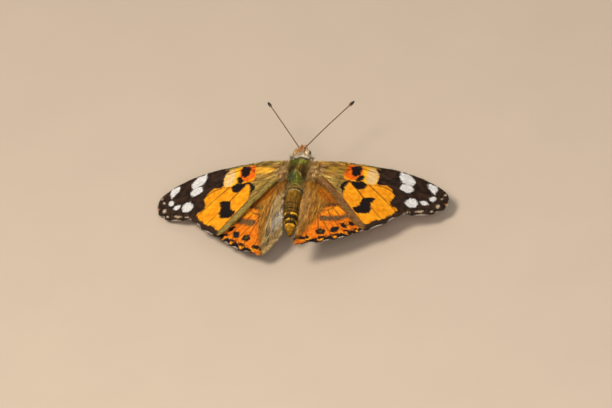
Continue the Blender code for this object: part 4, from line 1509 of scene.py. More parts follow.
    def hair_coats(self, values: dict[str, Points]) -> list[Coat]:
        """Return the wing's coats.

        Args:
            values: The fields on the skin's vertices.

        Returns:
            The coats, in the order in which they are grown.
        """
        x, y = values["plan"][:, 0], values["plan"][:, 1]
        root = np.hypot(x, y)
        flat = TuftShape(0.3, 0.15, 0.1, 0.2, 1, 0.16, 0.02, 0.3, True)
        even = (values["rim"] > 0.27) * 1.0
        if self.plan.kind == "forewing":
            rooted = np.exp(-(root / 4.8) ** 2)
            rear = np.exp(-(values["margin"] / 0.7) ** 2) * (values["base"] < 0.3)
            rear *= np.clip((13.5 - x) / 6.0, 0, 1) * (y < 0.3)
            within = (values["base"] < 0.0) * (values["ink"] > 0.5) * (values["cell"] > 0.15)
            return [
                Coat("flat_scales", flat, 30000, even),
                Coat("tegula_hair", TuftShape(1.9, 0.05, 0.16, 0.7, 3, 0.07), 2000,
                     (values["tegula"] < 0.0) * 1.0, (0.1, -1.0)),
                Coat("hair", TuftShape(1.7, 0.06, 0.1, 0.8, 2, 0.09), 4200,
                     (rooted + 0.05) * within * (x < 5.6) * (x > 1.2), (1.0, -0.32)),
                Coat("down", TuftShape(0.5, 0.055, 0.12, 0.6, 2, 0.16), 4500,
                     within * (0.35 + rooted), (1.0, -0.42)),
                Coat("veil", TuftShape(1.0, 0.06, -0.12, -0.8, 2, 0.12), 2600, rear,
                     (0.55, -0.85)),
                Coat("under_hair", TuftShape(0.9, 0.06, 0.2, 0.6, 2, 0.2), 1500, rooted,
                     (1.0, -0.2), under=True)]
        rooted = np.exp(-(root / 3.8) ** 2)
        inner = (values["fold"] < 0.4) * np.clip((18.6 + y) / 3.0, 0.12, 1)
        edge = np.exp(-(values["margin"] / 0.6) ** 2) * (x < 2.6) * (y < -3.0)
        based = values["base"] < 0.0
        clear = (values["rim"] > 1.6) * (values["patch"] > 0.6) * (values["spot"] > 0.7)
        return [
            Coat("flat_scales", flat, 22500, even),
            Coat("hair", TuftShape(1.5, 0.06, 0.14, 0.8, 2, 0.09), 7500,
                 (rooted + inner * 0.8 + 0.06 * based) * clear, (0.06, -1.0)),
            Coat("down", TuftShape(0.55, 0.055, 0.12, 0.6, 2, 0.14), 4500,
                 (based * 0.6 + rooted) * clear, (0.3, -1.0)),
            Coat("veil", TuftShape(0.9, 0.06, 0.3, 0.9, 2, 0.2), 2600, edge, (-0.75, -0.8)),
            Coat("under_hair", TuftShape(1.1, 0.06, 0.16, 0.7, 2, 0.15), 2200,
                 rooted + 0.6 * inner, (0.1, -1.0), under=True)]

    def build_hair(self, mesh: Mesh, values: dict[str, Points],
                   rng: np.random.Generator) -> None:
        """Grow the hair of the wing's base and inner margin.

        Args:
            mesh: The wing's skin.
            values: The fields on its vertices.
            rng: The seeded source of chance.
        """
        for coat in self.hair_coats(values):
            roots = scatter(mesh, values, coat.weight + 1e-6, coat.count, rng)
            plan = roots.values["plan"][:, :2]
            if coat.under:
                roots.points = roots.points - roots.normals * self.thickness
                roots.normals = -roots.normals
            heading = np.array(coat.heading) if coat.heading else unit(plan + (1.5, 0.0))
            lie = (self.plan.surface(plan + 0.5 * heading, self.side)
                   - self.plan.surface(plan, self.side))
            grown = coat.tuft.grow(f"{self.name}_{coat.label}", roots, unit(lie),
                                   self.unwrap(plan), rng)
            set_piece(grown, [self.upper if coat.tuft.blunt else self.hair], "wing_scales")


# Body


def upper_band(low: float, high: float, floor: float) -> Within:
    """Return the part of a band round the body that lies above a height."""
    return Within(Band(low, high), Band(floor, 9.0, 2))


BODY_FIELDS: dict[str, tuple[Region, ...]] = {
    "flank": (Within(Band(-4.6, 4.4), Band(-9.0, 0.9, 2)),),
    "belly": (Band(-9.0, -0.7, 2),),
    "shoulder": (Blob((2.5, 0.2, 1.0), (0.6, 3.4, 2.0)), Blob((-2.6, 0.2, 1.0), (0.6, 3.4, 2.0))),
    # Painted shadow: two small dark patches where the wings meet the thorax.
    "socket": (Blob((1.95, 0.9, 1.3), (0.35, 0.35, 0.8)), Blob((-2.3, 0.8, 1.2), (0.3, 0.3, 0.8))),
    "saddle": (Blob((-1.15, 0.5, 1.8), (0.75, 1.2, 1.8)), Blob((0.9, -0.3, 1.8), (0.9, 1.9, 1.8))),
    "slate": (Blob((-1.1, -1.6, 1.8), (0.8, 1.3, 1.8)),),
    "green": (Blob((-0.2, 2.5, 1.8), (1.9, 1.3, 2.2)), Blob((0.1, -2.1, 2.2), (1.4, 1.6, 1.6))),
    "seam": (Stripe(((-0.3, -0.3, 2.3), (0.5, -1.2, 2.3), (1.2, -2.1, 1.9)), 0.16),
             Stripe(((-0.3, -0.3, 2.3), (-0.7, -1.4, 2.2)), 0.14)),
    "waist": (Band(-5.1, -4.5),),
    "girdle": (Band(-5.5, -5.1),),
    "hind": (Band(-20.0, -5.3),),
    "bands": (upper_band(-12.2, -11.35, -0.2), upper_band(-13.25, -12.7, -0.2),
              upper_band(-8.62, -8.45, 0.6), upper_band(-9.3, -9.1, 0.3),
              upper_band(-9.95, -9.7, 0.0), upper_band(-10.65, -10.35, -0.2)),
    "rings": (Band(-11.1, -10.9), Band(-12.52, -12.34), Band(-13.6, -13.35)),
    "tip": (Band(-20.0, -13.6),),
    "tail_band": (upper_band(-14.35, -14.0, 0.0),),
    "collar": (Band(3.0, 3.95),),
    "head": (Band(3.95, 9.0),),
    "brow": (Blob((-0.4, 5.3, 1.5), (0.5, 0.9, 0.6)),),
}

BODY_PULL = (4.0, 0.7, 4.0)
BODY_GROUND = Paint("", (80, 62, 18), (124, 100, 42), STREAKS)
BODY_PAINTS = (
    Paint("flank", (122, 96, 54), (196, 162, 108), STREAKS, 0.5, 0.5),
    Paint("shoulder", (132, 104, 58), (212, 176, 116), STREAKS, 0.3, 0.4),
    Paint("green", (72, 76, 20), (122, 118, 48), STREAKS, 0.35, 0.4),
    Paint("saddle", (36, 20, 8), (92, 66, 20), STREAKS, 0.25, 0.3),
    Paint("slate", (46, 56, 28), (88, 96, 54), STREAKS, 0.2, 0.3),
    Paint("seam", (132, 118, 60), (168, 150, 88), SCALES, 0.1, 0.1),
    # Painted shadow at the wing roots on the thorax.
    Paint("socket", (40, 16, 8), (70, 34, 16), SCALES, 0.1, 0.1),
    Paint("belly", (150, 130, 98), (214, 198, 168), STREAKS, 0.6, 0.5),
    Paint("hind", (68, 44, 6), (122, 86, 16), STREAKS, 0.2, 0.2),
    Paint("bands", (20, 12, 4), (52, 36, 12), SCALES, 0.04, 0.08, 0.02),
    Paint("rings", (220, 156, 20), (248, 192, 50), SCALES, 0.05, 0.1),
    # The abdomen's tip is orange. Its paint is pushed to full brightness, partly as painted light
    # that lifts the shade on the tip.
    Paint("tip", (255, 156, 4), (255, 188, 24), STREAKS, 0.2, 0.2),
    Paint("tail_band", (130, 88, 14), (170, 122, 26), SCALES, 0.14, 0.16),
    Paint("waist", (26, 16, 10), (58, 42, 24), SCALES, 0.12, 0.16),
    Paint("girdle", (64, 48, 24), (128, 106, 68), STREAKS, 0.12, 0.2, -0.06),
    Paint("belly", (170, 146, 108), (222, 204, 172), STREAKS, 0.4, 0.4, -0.5),
    Paint("head", (150, 102, 52), (214, 160, 100), STREAKS, 0.25, 0.3),
    Paint("brow", (186, 114, 48), (226, 156, 88), STREAKS, 0.2, 0.3),
    Paint("collar", (164, 146, 116), (230, 216, 194), STREAKS, 0.3, 0.3),
)


@dataclass
class Body:
    """The head, thorax and abdomen as one skin, and the coat on it.

    Args:
        skin_finish: The finish of the skin.
        coat_finish: The finish of the coat of hair.
        tail_finish: The finish of the abdomen's scales and hair, which is less shaded.
    """

    skin_finish: Material
    coat_finish: Material
    tail_finish: Material
    thorax: Blob = Blob((0.0, -0.4, 0.0), (2.15, 4.1, 2.2))
    dome: Blob = Blob((-0.1, 2.0, 0.4), (1.75, 1.6, 1.5))
    head: Blob = Blob((-0.4, 4.85, 0.6), (0.95, 0.95, 1.05))
    neck: Blob = Blob((-0.3, 3.8, 0.4), (0.75, 0.9, 0.85))
    right_shoulder: Blob = Blob((1.9, 0.8, 1.15), (0.65, 2.4, 0.7))
    left_shoulder: Blob = Blob((-1.9, 0.8, 1.15), (0.65, 2.4, 0.7))
    abdomen_start: float = -3.4
    abdomen_length: float = 12.4
    abdomen_radius: float = 1.68
    tip_radius: float = 0.42
    side_bend: float = 0.75
    drop: float = 0.7
    voxel: float = 0.085
    ring_edges: tuple[float, ...] = (-6.4, -7.5, -8.65, -9.95, -11.2, -12.55, -13.75, -14.7)
    ring_relief: float = 0.09
    left_ruff: float = 1.1
    unwrap_shift: float = 17.0
    unwrap_length: float = 24.0

    def abdomen(self) -> Mesh:
        """Return the abdomen, turned about its length and bent to one side."""
        def place(s: Points, t: Points) -> Points:
            """Return the abdomen's skin at a share along it and a share round it."""
            swell = np.sin(math.pi * np.minimum(1.0, 0.28 + 0.62 * s)) ** 0.6
            end = np.sqrt(np.clip(1.0 - s ** 4.4, 0.0, 1.0)) * np.where(s == 0.0, 0.0, 1.0)
            radius = (self.tip_radius + (self.abdomen_radius - self.tip_radius) * swell) * end
            turn = 2 * math.pi * t
            return np.column_stack([
                radius * np.cos(turn) - 0.2 + self.side_bend * s ** 2,
                self.abdomen_start - self.abdomen_length * s,
                radius * np.sin(turn) - self.drop * s ** 2])
        return mapped_grid("abdomen_form", 60, 36, place, weld=0.001)

    def build(self, rng: np.random.Generator) -> None:
        """Build the skin and grow the coat.

        Args:
            rng: The seeded source of chance.
        """
        forms = [ellipsoid("body_form", form) for form in (
            self.thorax, self.dome, self.head, self.neck, self.right_shoulder,
            self.left_shoulder)]
        obj = new_object("body_skin", joined("body_skin", forms + [self.abdomen()]))
        melt = obj.modifiers.new("one_skin", "REMESH")
        melt.mode = "VOXEL"
        melt.voxel_size = self.voxel * MM
        soften = obj.modifiers.new("soften", "SMOOTH")
        soften.factor = 0.5
        soften.iterations = 6
        graph = bpy.context.evaluated_depsgraph_get()
        mesh = bpy.data.meshes.new_from_object(obj.evaluated_get(graph))
        obj.modifiers.clear()
        obj.data = mesh
        mesh.name = obj.name
        points = read_points(mesh)
        normals = read_vectors(mesh.vertex_normals, "vector")
        step = np.zeros(len(points))
        for low, high in zip(self.ring_edges[1:], self.ring_edges):
            share = np.clip((high - points[:, 1]) / (high - low), 0.0, 1.0)
            inside = (points[:, 1] <= high) & (points[:, 1] > low)
            step = np.where(inside, self.ring_relief * (share ** 2 - 0.4), step)
        points = points + normals * step[:, None]
        values = {name: measure(regions, points) for name, regions in BODY_FIELDS.items()}
        values["plan"] = points
        write_points(mesh, STANCE.world(points))
        add_values(mesh, values)
        finish_piece(obj, [self.skin_finish], "body_hair", "head", "thorax", "abdomen")
        self.build_coat(mesh, values, rng)

    def coats(self, at: Points) -> list[Coat]:
        """Return the body's coats.

        Args:
            at: The skin's vertices in the body's frame.

        Returns:
            The coats, in the order in which they are grown.
        """
        x, y, z = at.T
        thorax = np.clip((y + 4.25) / 0.3, 0, 1) * np.clip((4.1 - y) / 0.4, 0, 1)
        top = np.clip(z / 1.0, 0, 1)
        low = np.clip(0.6 - z / 1.2, 0, 1)
        head = np.clip((y - 3.6) / 0.4, 0, 1)
        hind = np.clip((-4.9 - y) / 0.4, 0, 1)
        rims = np.min([np.abs(y - edge + 0.1) for edge in self.ring_edges], axis=0)
        beside = np.exp(-((np.abs(x) - 2.0) / 0.45) ** 2) * np.clip(z + 0.6, 0, 1)
        ruff = np.exp(-((y - 3.45) / 0.32) ** 2)
        ruff = ruff + 0.8 * np.exp(-((y - 4.15) / 0.35) ** 2) * (x < -0.5)
        hairy = 0.12 + np.exp(-(rims / 0.14) ** 2) + np.clip((-13.6 - y), 0, 1)
        return [
            Coat("thorax_down", TuftShape(0.45, 0.055, 0.2, 0.5, 2, 0.2), 8600, thorax),
            Coat("thorax_hair", TuftShape(0.85, 0.05, 0.24, 0.55, 2, 0.2), 5500,
                 thorax * (0.3 + 0.6 * low)),
            Coat("shoulder_hair", TuftShape(1.3, 0.05, 0.14, 0.6, 3, 0.1), 2600,
                 thorax * beside * (y < 2.6)),
            Coat("chest_hair", TuftShape(0.9, 0.06, 0.5, 0.4, 2, 0.3), 2600, thorax * low),
            Coat("nape_hair", TuftShape(1.1, 0.05, 0.5, 0.3, 2, 0.25), 3000, ruff * (0.3 + top),
                 forward=0.15),
            Coat("head_hair", TuftShape(0.5, 0.05, 0.5, 0.4, 2, 0.3), 2600, head, forward=0.8),
            Coat("abdomen_scales", TuftShape(0.26, 0.09, 0.12, 0.3, 1, 0.12), 12000, hind),
            Coat("abdomen_hair", TuftShape(0.4, 0.045, 0.2, 0.5, 2, 0.18), 2800, hind * hairy)]

    def build_coat(self, mesh: Mesh, values: dict[str, Points],
                   rng: np.random.Generator) -> None:
        """Grow the coat over the body's skin.

        Args:
            mesh: The skin.
            values: The fields on its vertices.
            rng: The seeded source of chance.
        """
        for coat in self.coats(values["plan"]):
            roots = scatter(mesh, values, coat.weight + 1e-7, coat.count, rng)
            at = roots.values["plan"]
            lie = np.column_stack([0.12 * np.sign(at[:, 0]), np.full(len(at), -1.0),
                                   np.full(len(at), -0.05)])
            if coat.forward:
                lie[:, 1:] = coat.forward, 0.5
            unwrap = np.column_stack([
                0.5 + np.arctan2(at[:, 0], at[:, 2]) / (2 * math.pi) * 0.96,
                np.clip((at[:, 1] + self.unwrap_shift) / self.unwrap_length, 0.01, 0.99)])
            taller = (at[:, 0] < 0.1) & (coat.label == "nape_hair")
            grown = coat.tuft.grow(coat.label, roots, STANCE.turned(unit(lie)), unwrap, rng,
                                   np.where(taller, self.left_ruff, 1.0))
            if coat.label.startswith("abdomen"):
                set_piece(grown, [self.tail_finish], "abdomen_scales")
            else:
                set_piece(grown, [self.coat_finish], "body_hair")


@dataclass
class Head:
    """What stands on the head: eyes, antennae, palps and the coiled tongue."""

    eye_finish: Material
    shaft_finish: Material
    coat_finish: Material
    middle: Triple = (-0.4, 4.9, 0.6)
    eye_half: Triple = (0.9, 0.93, 1.02)
    eye_out: float = 0.98
    eye_forward: float = 0.2
    antenna_length: float = 15.4
    antenna_spread: float = 33.6
    antenna_turn: float = 2.0
    antenna_rise: float = -0.9
    antenna_root: Triple = (0.42, 0.75, 0.85)
    shaft_radius: float = 0.12
    club_length: float = 1.65
    club_radius: float = 0.31
    joints: int = 38
    joint_relief: float = 0.014
    root_swell: float = 0.12
    antenna_bow: float = 0.18
    palp_route: tuple[Triple, ...] = (
        (0.45, 0.5, -0.8), (0.45, 1.3, -0.65), (0.42, 1.75, -0.25), (0.36, 2.05, 0.1))
    palp_radius: float = 0.25
    palp_tuft: TuftShape = TuftShape(0.5, 0.05, 0.45, 0.3, 2, 0.35)
    palp_tufts: int = 900
    coil_middle: Triple = (0.0, 0.75, -2.5)
    coil_radius: float = 1.12
    coil_turns: float = 2.6
    coil_start: float = 150.0
    tongue_radius: float = 0.13

    def eye(self, side: Side) -> None:
        """Build one compound eye, with painted shade where it meets the head and round its outer
        rim.
        """
        middle = np.array(self.middle) + (side.value * self.eye_out, self.eye_forward, 0.0)
        mesh = ellipsoid(f"eye_{side.label}_lens", Blob(middle, self.eye_half), 64, 48)
        points = read_points(mesh)
        past = (points[:, 0] - self.middle[0]) * side.value - self.eye_out
        # Painted shade: dark on the side towards the head and round the outer rim, pale between.
        band = np.clip(np.maximum(0.1 - past / 0.3, (past - 0.55) / 0.15), 0.0, 1.0)
        write_points(mesh, STANCE.world(points))
        add_values(mesh, {"band": band})
        set_piece(mesh, [self.eye_finish], "eye", f"eye_{side.label}")

    def antenna(self, side: Side) -> None:
        """Build one antenna: a jointed shaft with pale rings, and a dark club."""
        root = np.array(self.middle) + np.array(self.antenna_root) * (side.value, 1.0, 1.0)
        bearing = math.radians(side.value * self.antenna_spread - self.antenna_turn)
        rise = math.radians(self.antenna_rise)
        heading = np.array([math.sin(bearing) * math.cos(rise),
                            math.cos(bearing) * math.cos(rise), math.sin(rise)])
        shares = np.linspace(0.0, 1.0, self.joints * 4 + 1)
        along = shares * self.antenna_length
        club = np.clip((along - self.antenna_length + self.club_length) / self.club_length, 0, 1)
        swell = np.sin(math.pi * np.clip(club * 0.98, 0, 1) ** 0.72) ** 0.8
        phase = (shares * self.joints) % 1.0
        radii = self.shaft_radius + self.joint_relief * np.cos(2 * math.pi * phase)
        radii = radii + (self.club_radius - self.shaft_radius) * swell
        radii *= np.sqrt(np.clip((1.0 - shares) / 0.012, 0.0, 1.0))
        radii += self.root_swell * np.exp(-(along / 0.35) ** 2)
        bow = self.antenna_bow * np.sin(math.pi * shares)
        route = root + heading * along[:, None] + np.array([0.0, 0.0, 1.0]) * bow[:, None]
        mesh = tube_mesh(f"antenna_{side.label}_shaft", STANCE.world(route), radii, 12)
        points = read_points(mesh)
        reach = (points - STANCE.world(root[None])[0]) @ STANCE.turned(heading)
        share = reach / self.antenna_length
        ring = np.cos(2 * math.pi * (share * self.joints)) > 0.35
        dark = np.clip((reach - self.antenna_length + self.club_length) / 0.5, 0, 1)
        tip = np.clip((reach - self.antenna_length + 0.35) / 0.2, 0, 1)
        band = (0.28 + ring * 0.55) * (1 - dark) + tip * 0.8
        add_values(mesh, {"band": band})
        set_piece(mesh, [self.shaft_finish], "antenna_shaft", f"antenna_{side.label}")

    def palp(self, side: Side, rng: np.random.Generator) -> None:
        """Build one palp and its coat of stiff scales.

        Args:
            side: Which side of the face.
            rng: The seeded source of chance.
        """
        knots = np.array(self.palp_route) * (side.value, 1.0, 1.0) + np.array(self.middle)
        route = smooth_route(knots, 6)
        share = np.linspace(0.0, 1.0, len(route))
        radii = self.palp_radius * (1.0 - 0.62 * np.clip(share - 0.5, 0, 1) * 2)
        mesh = tube_mesh(f"palp_{side.label}_stem", STANCE.world(route), radii, 12)
        at = STANCE.body(read_points(mesh))
        values = {name: measure(regions, at) for name, regions in BODY_FIELDS.items()}
        values["plan"] = at
        add_values(mesh, values)
        set_piece(mesh, [self.coat_finish], "body_hair", f"palp_{side.label}")
        roots = scatter(mesh, values, np.ones(len(at)), self.palp_tufts, rng)
        grown_at = roots.values["plan"]
        nearest = np.argmin(((grown_at[:, None] - route[None]) ** 2).sum(axis=2), axis=1)
        lie = STANCE.turned(unit(np.gradient(route, axis=0))[nearest])
        unwrap = np.column_stack([0.5 + 0.4 * np.sin(grown_at[:, 0] * 5.0),
                                  0.05 + 0.9 * nearest / len(route)])
        grown = self.palp_tuft.grow(f"palp_{side.label}_hair", roots, lie, unwrap, rng)
        set_piece(grown, [self.coat_finish], "body_hair")

    def tongue(self) -> None:
        """Build the coiled tongue that hangs below the head."""
        share = np.linspace(0.0, 1.0, 110)
        turn = math.radians(self.coil_start) + share * self.coil_turns * 2 * math.pi
        radius = self.coil_radius * (1.0 - 0.8 * share)
        middle = np.array(self.middle) + self.coil_middle
        coil = middle + np.column_stack([0.05 * np.sin(turn), radius * np.cos(turn),
                                         radius * np.sin(turn)])
        start = np.array(self.middle) + (0.0, -0.1, -0.8)
        route = np.vstack([start, start * 0.5 + coil[0] * 0.5, coil])
        radii = self.tongue_radius * (1.0 - 0.45 * np.linspace(0, 1, len(route)))
        mesh = tube_mesh("tongue", STANCE.world(route), radii, 10)
        add_values(mesh, {"band": 0.3 + 0.3 * np.sin(read_points(mesh)[:, 1] * 30.0)})
        set_piece(mesh, [self.shaft_finish], "antenna_shaft", "proboscis")

    def build(self, rng: np.random.Generator) -> None:
        """Build everything on the head.

        Args:
            rng: The seeded source of chance.
        """
        for side in Side:
            self.eye(side)
            self.antenna(side)
            self.palp(side, rng)
        self.tongue()


@dataclass(frozen=True)
class LegPlan:
    """One pair of walking legs: the hip in the body's frame, the rest above the floor."""

    kind: str
    hip: Triple
    knee: Triple
    ankle: Triple
    toe: Triple


WALKING_LEGS = (
    LegPlan("midleg", (1.0, 0.9, -1.9), (4.6, 2.2, 4.3), (6.1, 3.4, 0.9), (8.0, 5.0, 0.0)),
    LegPlan("hindleg", (0.95, -2.3, -1.8), (4.2, -4.9, 3.8), (5.3, -7.9, 0.9), (6.4, -10.2, 0.0)))
FORELEG_ROUTE = ((0.85, 2.2, -1.6), (1.15, 2.9, -2.9), (1.35, 3.9, -3.5), (1.35, 5.0, -3.2))


@dataclass
class Legs:
    """The four walking legs and the two small folded forelegs.

    Args:
        finish: The finish of the bare joints.
        coat_finish: The finish of the scales on the thighs and forelegs.
    """

    finish: Material
    coat_finish: Material
    thigh_radius: float = 0.27
    shin_radius: float = 0.19
    foot_radius: float = 0.13
    foot_stops: tuple[float, ...] = (0.0, 0.45, 0.65, 0.82, 1.0)

    def walking_leg(self, plan: LegPlan, side: Side, rng: np.random.Generator) -> None:
        """Build one walking leg with its thigh, shin, five foot joints, spines and claws.

        Args:
            plan: The pair's sizes.
            side: Which leg of the pair.
            rng: The seeded source of chance.
        """
        mirror = np.array([side.value, 1.0, 1.0])
        below = np.array([STANCE.place[0], STANCE.place[1], 0.0])
        hip = STANCE.world((np.array(plan.hip) * mirror)[None])[0]
        knee, ankle, toe = (below + np.array(place) * mirror
                            for place in (plan.knee, plan.ankle, plan.toe))
        level = unit((toe - ankle) * (1.0, 1.0, 0.0))
        heel = ankle + level * 0.6
        heel[2] = toe[2] = self.foot_radius
        meshes = [self.limb("thigh", hip, knee, self.thigh_radius, 1.0, 0.72),
                  self.limb("shin", knee, ankle, self.shin_radius, 0.8, 0.8)]
        stops = [ankle] + [heel + (toe - heel) * share for share in self.foot_stops]
        for start, stop in zip(stops, stops[1:]):
            meshes.append(self.limb("foot", start, stop, self.foot_radius, 0.85, 0.8, 9))
        across = np.cross(level, (0.0, 0.0, 1.0))
        for sign in (-1.0, 1.0):
            tip = toe + level * 0.3 + across * 0.16 * sign
            tip[2] = 0.03
            route = smooth_route([toe, toe + level * 0.17 + across * 0.12 * sign, tip], 5)
            meshes.append(tube_mesh("claw", route, np.linspace(0.05, 0.012, len(route)), 6))
        name = f"{plan.kind}_{side.label}"
        mesh = joined(name + "_limb", meshes)
        band = np.clip((read_points(mesh)[:, 2] - ankle[2]) / 2.5, 0.0, 0.8)
        add_values(mesh, {"band": band})
        set_piece(mesh, [self.finish], "leg", name)
        self.scales(name, mesh, [(hip, knee, 650, 0.3), (knee, ankle, 260, 0.24)], rng)

    def limb(self, name: str, start: Points, stop: Points, radius: float, first: float,
             last: float, steps: int = 16) -> Mesh:
        """Return one joint of a leg, waisted at both of its ends."""
        share = np.linspace(-0.02, 1.02, steps)
        route = start + (stop - start) * share[:, None]
        body = 1.0 - 0.45 * (2 * np.clip(share, 0, 1) - 1) ** 6
        radii = radius * body * (first + (last - first) * np.clip(share, 0, 1))
        return tube_mesh(name, route, radii, 12)

    def scales(self, name: str, mesh: Mesh, joints: list[tuple],
               rng: np.random.Generator) -> None:
        """Grow flat scales and stiff spines along the thigh and shin.

        Args:
            name: The leg's name.
            mesh: The leg's skin.
            joints: For each joint its start, stop, tuft count and tuft length.
            rng: The seeded source of chance.
        """
        grown = []
        points = read_points(mesh)
        for start, stop, count, length in joints:
            away, share = line_distance(points, np.array([start, stop]))
            weight = (away < 0.33) * (share > 0.02) * (share < 0.97) * 1.0
            roots = scatter(mesh, {"place": points}, weight + 1e-9, count, rng)
            lie = np.tile(unit(stop - start), (count, 1))
            at = roots.values.pop("place")
            roots.values = {key: np.full(count, 1.0) for key in BODY_FIELDS}
            roots.values["belly"] = -0.2 + rng.uniform(-0.6, 0.9, count)
            roots.values["plan"] = STANCE.body(at)
            unwrap = np.column_stack([0.5 + 0.4 * np.sin(at[:, 0] * 4.0),
                                      np.clip(at[:, 2] / 9.0, 0.02, 0.98)])
            shape = TuftShape(length, 0.06, 0.22, 0.3, 2, 0.15, 0.02)
            grown.append(shape.grow("scales", roots, lie, unwrap, rng))
        set_piece(joined(name + "_scales", grown), [self.coat_finish], "leg")

    def foreleg(self, side: Side, rng: np.random.Generator) -> None:
        """Build one folded foreleg, which is small and brush-like.

        Args:
            side: Which side of the body.
            rng: The seeded source of chance.
        """
        route = STANCE.world(smooth_route(np.array(FORELEG_ROUTE) * (side.value, 1.0, 1.0), 8))
        share = np.linspace(0.0, 1.0, len(route))
        mesh = tube_mesh(f"foreleg_{side.label}_limb", route, 0.2 - 0.08 * share, 12)
        add_values(mesh, {"band": np.full(len(mesh.vertices), 0.6)})
        set_piece(mesh, [self.finish], "leg", f"foreleg_{side.label}")
        joints = [(route[0], route[8], 260, 0.4), (route[8], route[16], 320, 0.4),
                  (route[16], route[-1], 320, 0.36)]
        self.scales(f"foreleg_{side.label}", mesh, joints, rng)

    def build(self, rng: np.random.Generator) -> None:
        """Build all six legs.

        Args:
            rng: The seeded source of chance.
        """
        for side in Side:
            for plan in WALKING_LEGS:
                self.walking_leg(plan, side, rng)
            self.foreleg(side, rng)


def outward(azimuth: float, elevation: float) -> Vector:
    """Return the direction at a bearing from the body's rear and a height, in radians."""
    return Vector((math.sin(azimuth) * math.cos(elevation),
                   -math.cos(azimuth) * math.cos(elevation), math.sin(elevation)))


@dataclass(frozen=True)
class Lamp:
    """A soft square light that faces the body.

    Args:
        name: The light's name.
        bearing: Its bearing round the body, from the front of the picture, in degrees.
        height: Its height above the horizon, in degrees.
        size: Its side, in metres.
        power: Its power, in watts.
        tint: Its colour.
    """

    name: str
    bearing: float
    height: float
    size: float
    power: float
    tint: Triple


@dataclass
class Studio:
    """The pale floor, the soft lights and the camera.

    Args:
        azimuth: The camera's bearing round the body, in degrees.
        elevation: The camera's height above the horizon, in degrees.
        roll: How far the camera is rolled.
        distance: How far the camera stands off, in millimetres.
        view_width: What the picture is wide at the body, in millimetres.
        aim: The picture's middle from the middle of the thorax, right and up, in millimetres.
        floor_half: Half the floor's side, in metres.
        floor_colour: The floor's paler colour.
        floor_shade: How bright its darker colour is beside the paler one.
        lamps: The lights.
        lamp_distance: How far they stand off, in metres.
        sky: The colour of the light from all round.
        sky_strength: How strong that light is.
    """

    azimuth: float = 18.9
    elevation: float = 39.2
    roll: float = -11.4
    distance: float = 2500.0
    view_width: float = 122.4
    aim: tuple[float, float] = (1.146, -5.848)
    floor_half: float = 1.5
    floor_colour: Colour = (186, 168, 148)
    floor_shade: float = 0.97
    lamps: tuple[Lamp, ...] = (
        Lamp("key", -52.0, 62.0, 0.2, 3.55, (1.0, 0.95, 0.87)),
        Lamp("fill", 3.0, 38.0, 0.35, 1.5, (0.98, 0.98, 1.0)),
        Lamp("back", 170.0, 40.0, 0.5, 0.5, (1.0, 0.97, 0.92)))
    lamp_distance: float = 0.6
    sky: Triple = (1.0, 0.98, 0.95)
    sky_strength: float = 0.25

    def camera(self) -> None:
        """Place the camera as the butterfly is seen, and make it the scene's own."""
        a, e, g = (math.radians(v) for v in (self.azimuth, self.elevation, self.roll))
        right = Vector((math.cos(a), math.sin(a), 0.0))
        up = Vector((-math.sin(a) * math.sin(e), math.cos(a) * math.sin(e), math.cos(e)))
        back = outward(a, e)
        across = right * math.cos(g) + up * math.sin(g)
        upright = up * math.cos(g) - right * math.sin(g)
        target = Vector(STANCE.place) + across * self.aim[0] + upright * self.aim[1]
        data = bpy.data.cameras.new("camera")
        data.sensor_width = 36.0
        data.lens = data.sensor_width * self.distance / self.view_width
        data.clip_end = 100.0
        obj = new_object("camera", data)
        turn = Matrix((across, upright, back)).transposed()
        obj.matrix_world = Matrix.Translation((target + back * self.distance) * MM) @ turn.to_4x4()
        bpy.context.scene.camera = obj

    def light(self, lamp: Lamp) -> None:
        """Add one soft square light that faces the body.

        Args:
            lamp: Where it stands, and how large, strong and warm it is.
        """
        data = bpy.data.lights.new(lamp.name, "AREA")
        data.size = lamp.size
        data.energy = lamp.power
        data.color = lamp.tint
        away = outward(math.radians(self.azimuth + lamp.bearing), math.radians(lamp.height))
        obj = new_object(lamp.name, data)
        obj.location = away * self.lamp_distance
        obj.rotation_euler = away.to_track_quat("Z", "Y").to_euler()

    def floor(self) -> None:
        """Lay the plain pale floor."""
        def place(s: Points, t: Points) -> Points:
            """Return the floor's place at shares of its sides."""
            half = self.floor_half / MM
            return np.column_stack([(2 * s - 1) * half, (2 * t - 1) * half, np.zeros(len(s))])
        obj = new_object("floor", mapped_grid("floor", 8, 8, place))
        material, graph, shader = new_material("floor_paint")
        spot = graph.add("TexCoord").outputs["Object"]
        noise = graph.add("TexNoise", {"Vector": spot, "Scale": 60.0, "Detail": 4.0})
        low = tuple(int(c * self.floor_shade) for c in self.floor_colour)
        colour = graph.blend(noise.outputs[0], linear(low), linear(self.floor_colour))
        graph.feed(shader, {"Base Color": colour, "Roughness": 0.9})
        obj.data.materials.append(material)

    def build(self) -> None:
        """Build the studio."""
        self.camera()
        self.floor()
        bpy.context.scene.view_settings.view_transform = "Standard"
        for lamp in self.lamps:
            self.light(lamp)
        world = bpy.data.worlds.new("studio")
        world.use_nodes = True
        sky = world.node_tree.nodes["Background"]
        Graph(world.node_tree).feed(sky, {"Color": (*self.sky, 1.0),
                                          "Strength": self.sky_strength})
        bpy.context.scene.world = world


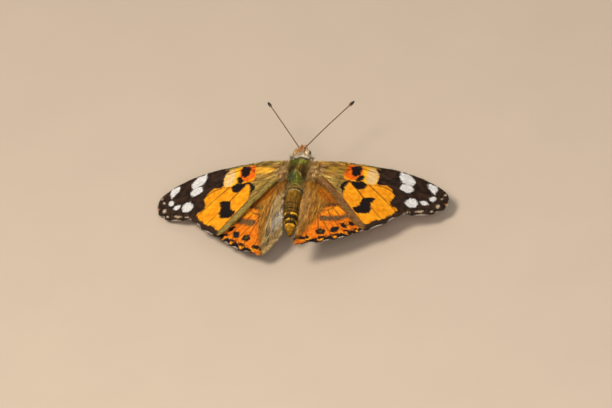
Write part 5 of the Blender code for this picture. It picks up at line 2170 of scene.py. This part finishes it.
def main() -> None:
    """Build the whole butterfly and its studio."""
    logging.basicConfig(level=logging.INFO, format="%(message)s")
    Studio().build()
    groups = {"edge": edge_group(), "scales": scale_group(), "streaks": streak_group()}
    kinds = (
        (FOREWING, FOREWING_FIELDS, FOREWING_GROUND, forewing_paints, forewing_under_paints(),
         FOREWING_UNDER_GROUND, (0.4, 3.4, 1.0)),
        (HINDWING, HINDWING_FIELDS, HINDWING_GROUND, hindwing_paints, hindwing_under_paints(),
         HINDWING_UNDER_GROUND, (3.2, 0.35, 1.0)))
    for seed, (plan, fields, ground, paints, under, under_ground, pull) in zip(WING_SEEDS, kinds):
        under_look = PaintedFinish(plan.kind + "_under", under_ground, under, pull).build(groups)
        for side in Side:
            label = f"{plan.kind}_{side.label}"
            upper = PaintedFinish(label + "_scales", ground, paints(side), pull).build(groups)
            hair = PaintedFinish(label + "_hair", ground, paints(side), pull, roughness=0.6,
                                 relief=0.1, shades=(0.3, 0.0, 1.2, 0.3)).build(groups)
            rng = np.random.default_rng(seed + side.value)
            Wing(plan, side, fields, upper, under_look, hair).build(rng)
    looks = (
        PaintedFinish("body_skin", BODY_GROUND, BODY_PAINTS, BODY_PULL),
        PaintedFinish("body_coat", BODY_GROUND, BODY_PAINTS, BODY_PULL, roughness=0.6,
                      relief=0.1, shades=(0.38, 0.0, 1.0, 0.35)),
        PaintedFinish("tail_coat", BODY_GROUND, BODY_PAINTS, BODY_PULL, roughness=0.6,
                      relief=0.1, shades=(0.74, 0.1, 0.4, 0.16)),
        EyeFinish(),
        HornFinish("antenna_shaft", (12, 7, 5), (150, 118, 84), 0.75, 0.0),
        HornFinish("leg_horn", (190, 132, 70), (120, 92, 60), 0.45, 0.15))
    skin, coat, tail, eye, shaft, limb = (look.build(groups) for look in looks)
    Body(skin, coat, tail).build(np.random.default_rng(BODY_SEED))
    Head(eye, shaft, coat).build(np.random.default_rng(HEAD_SEED))
    Legs(limb, coat).build(np.random.default_rng(LEGS_SEED))


if __name__ == "__main__":
    main()
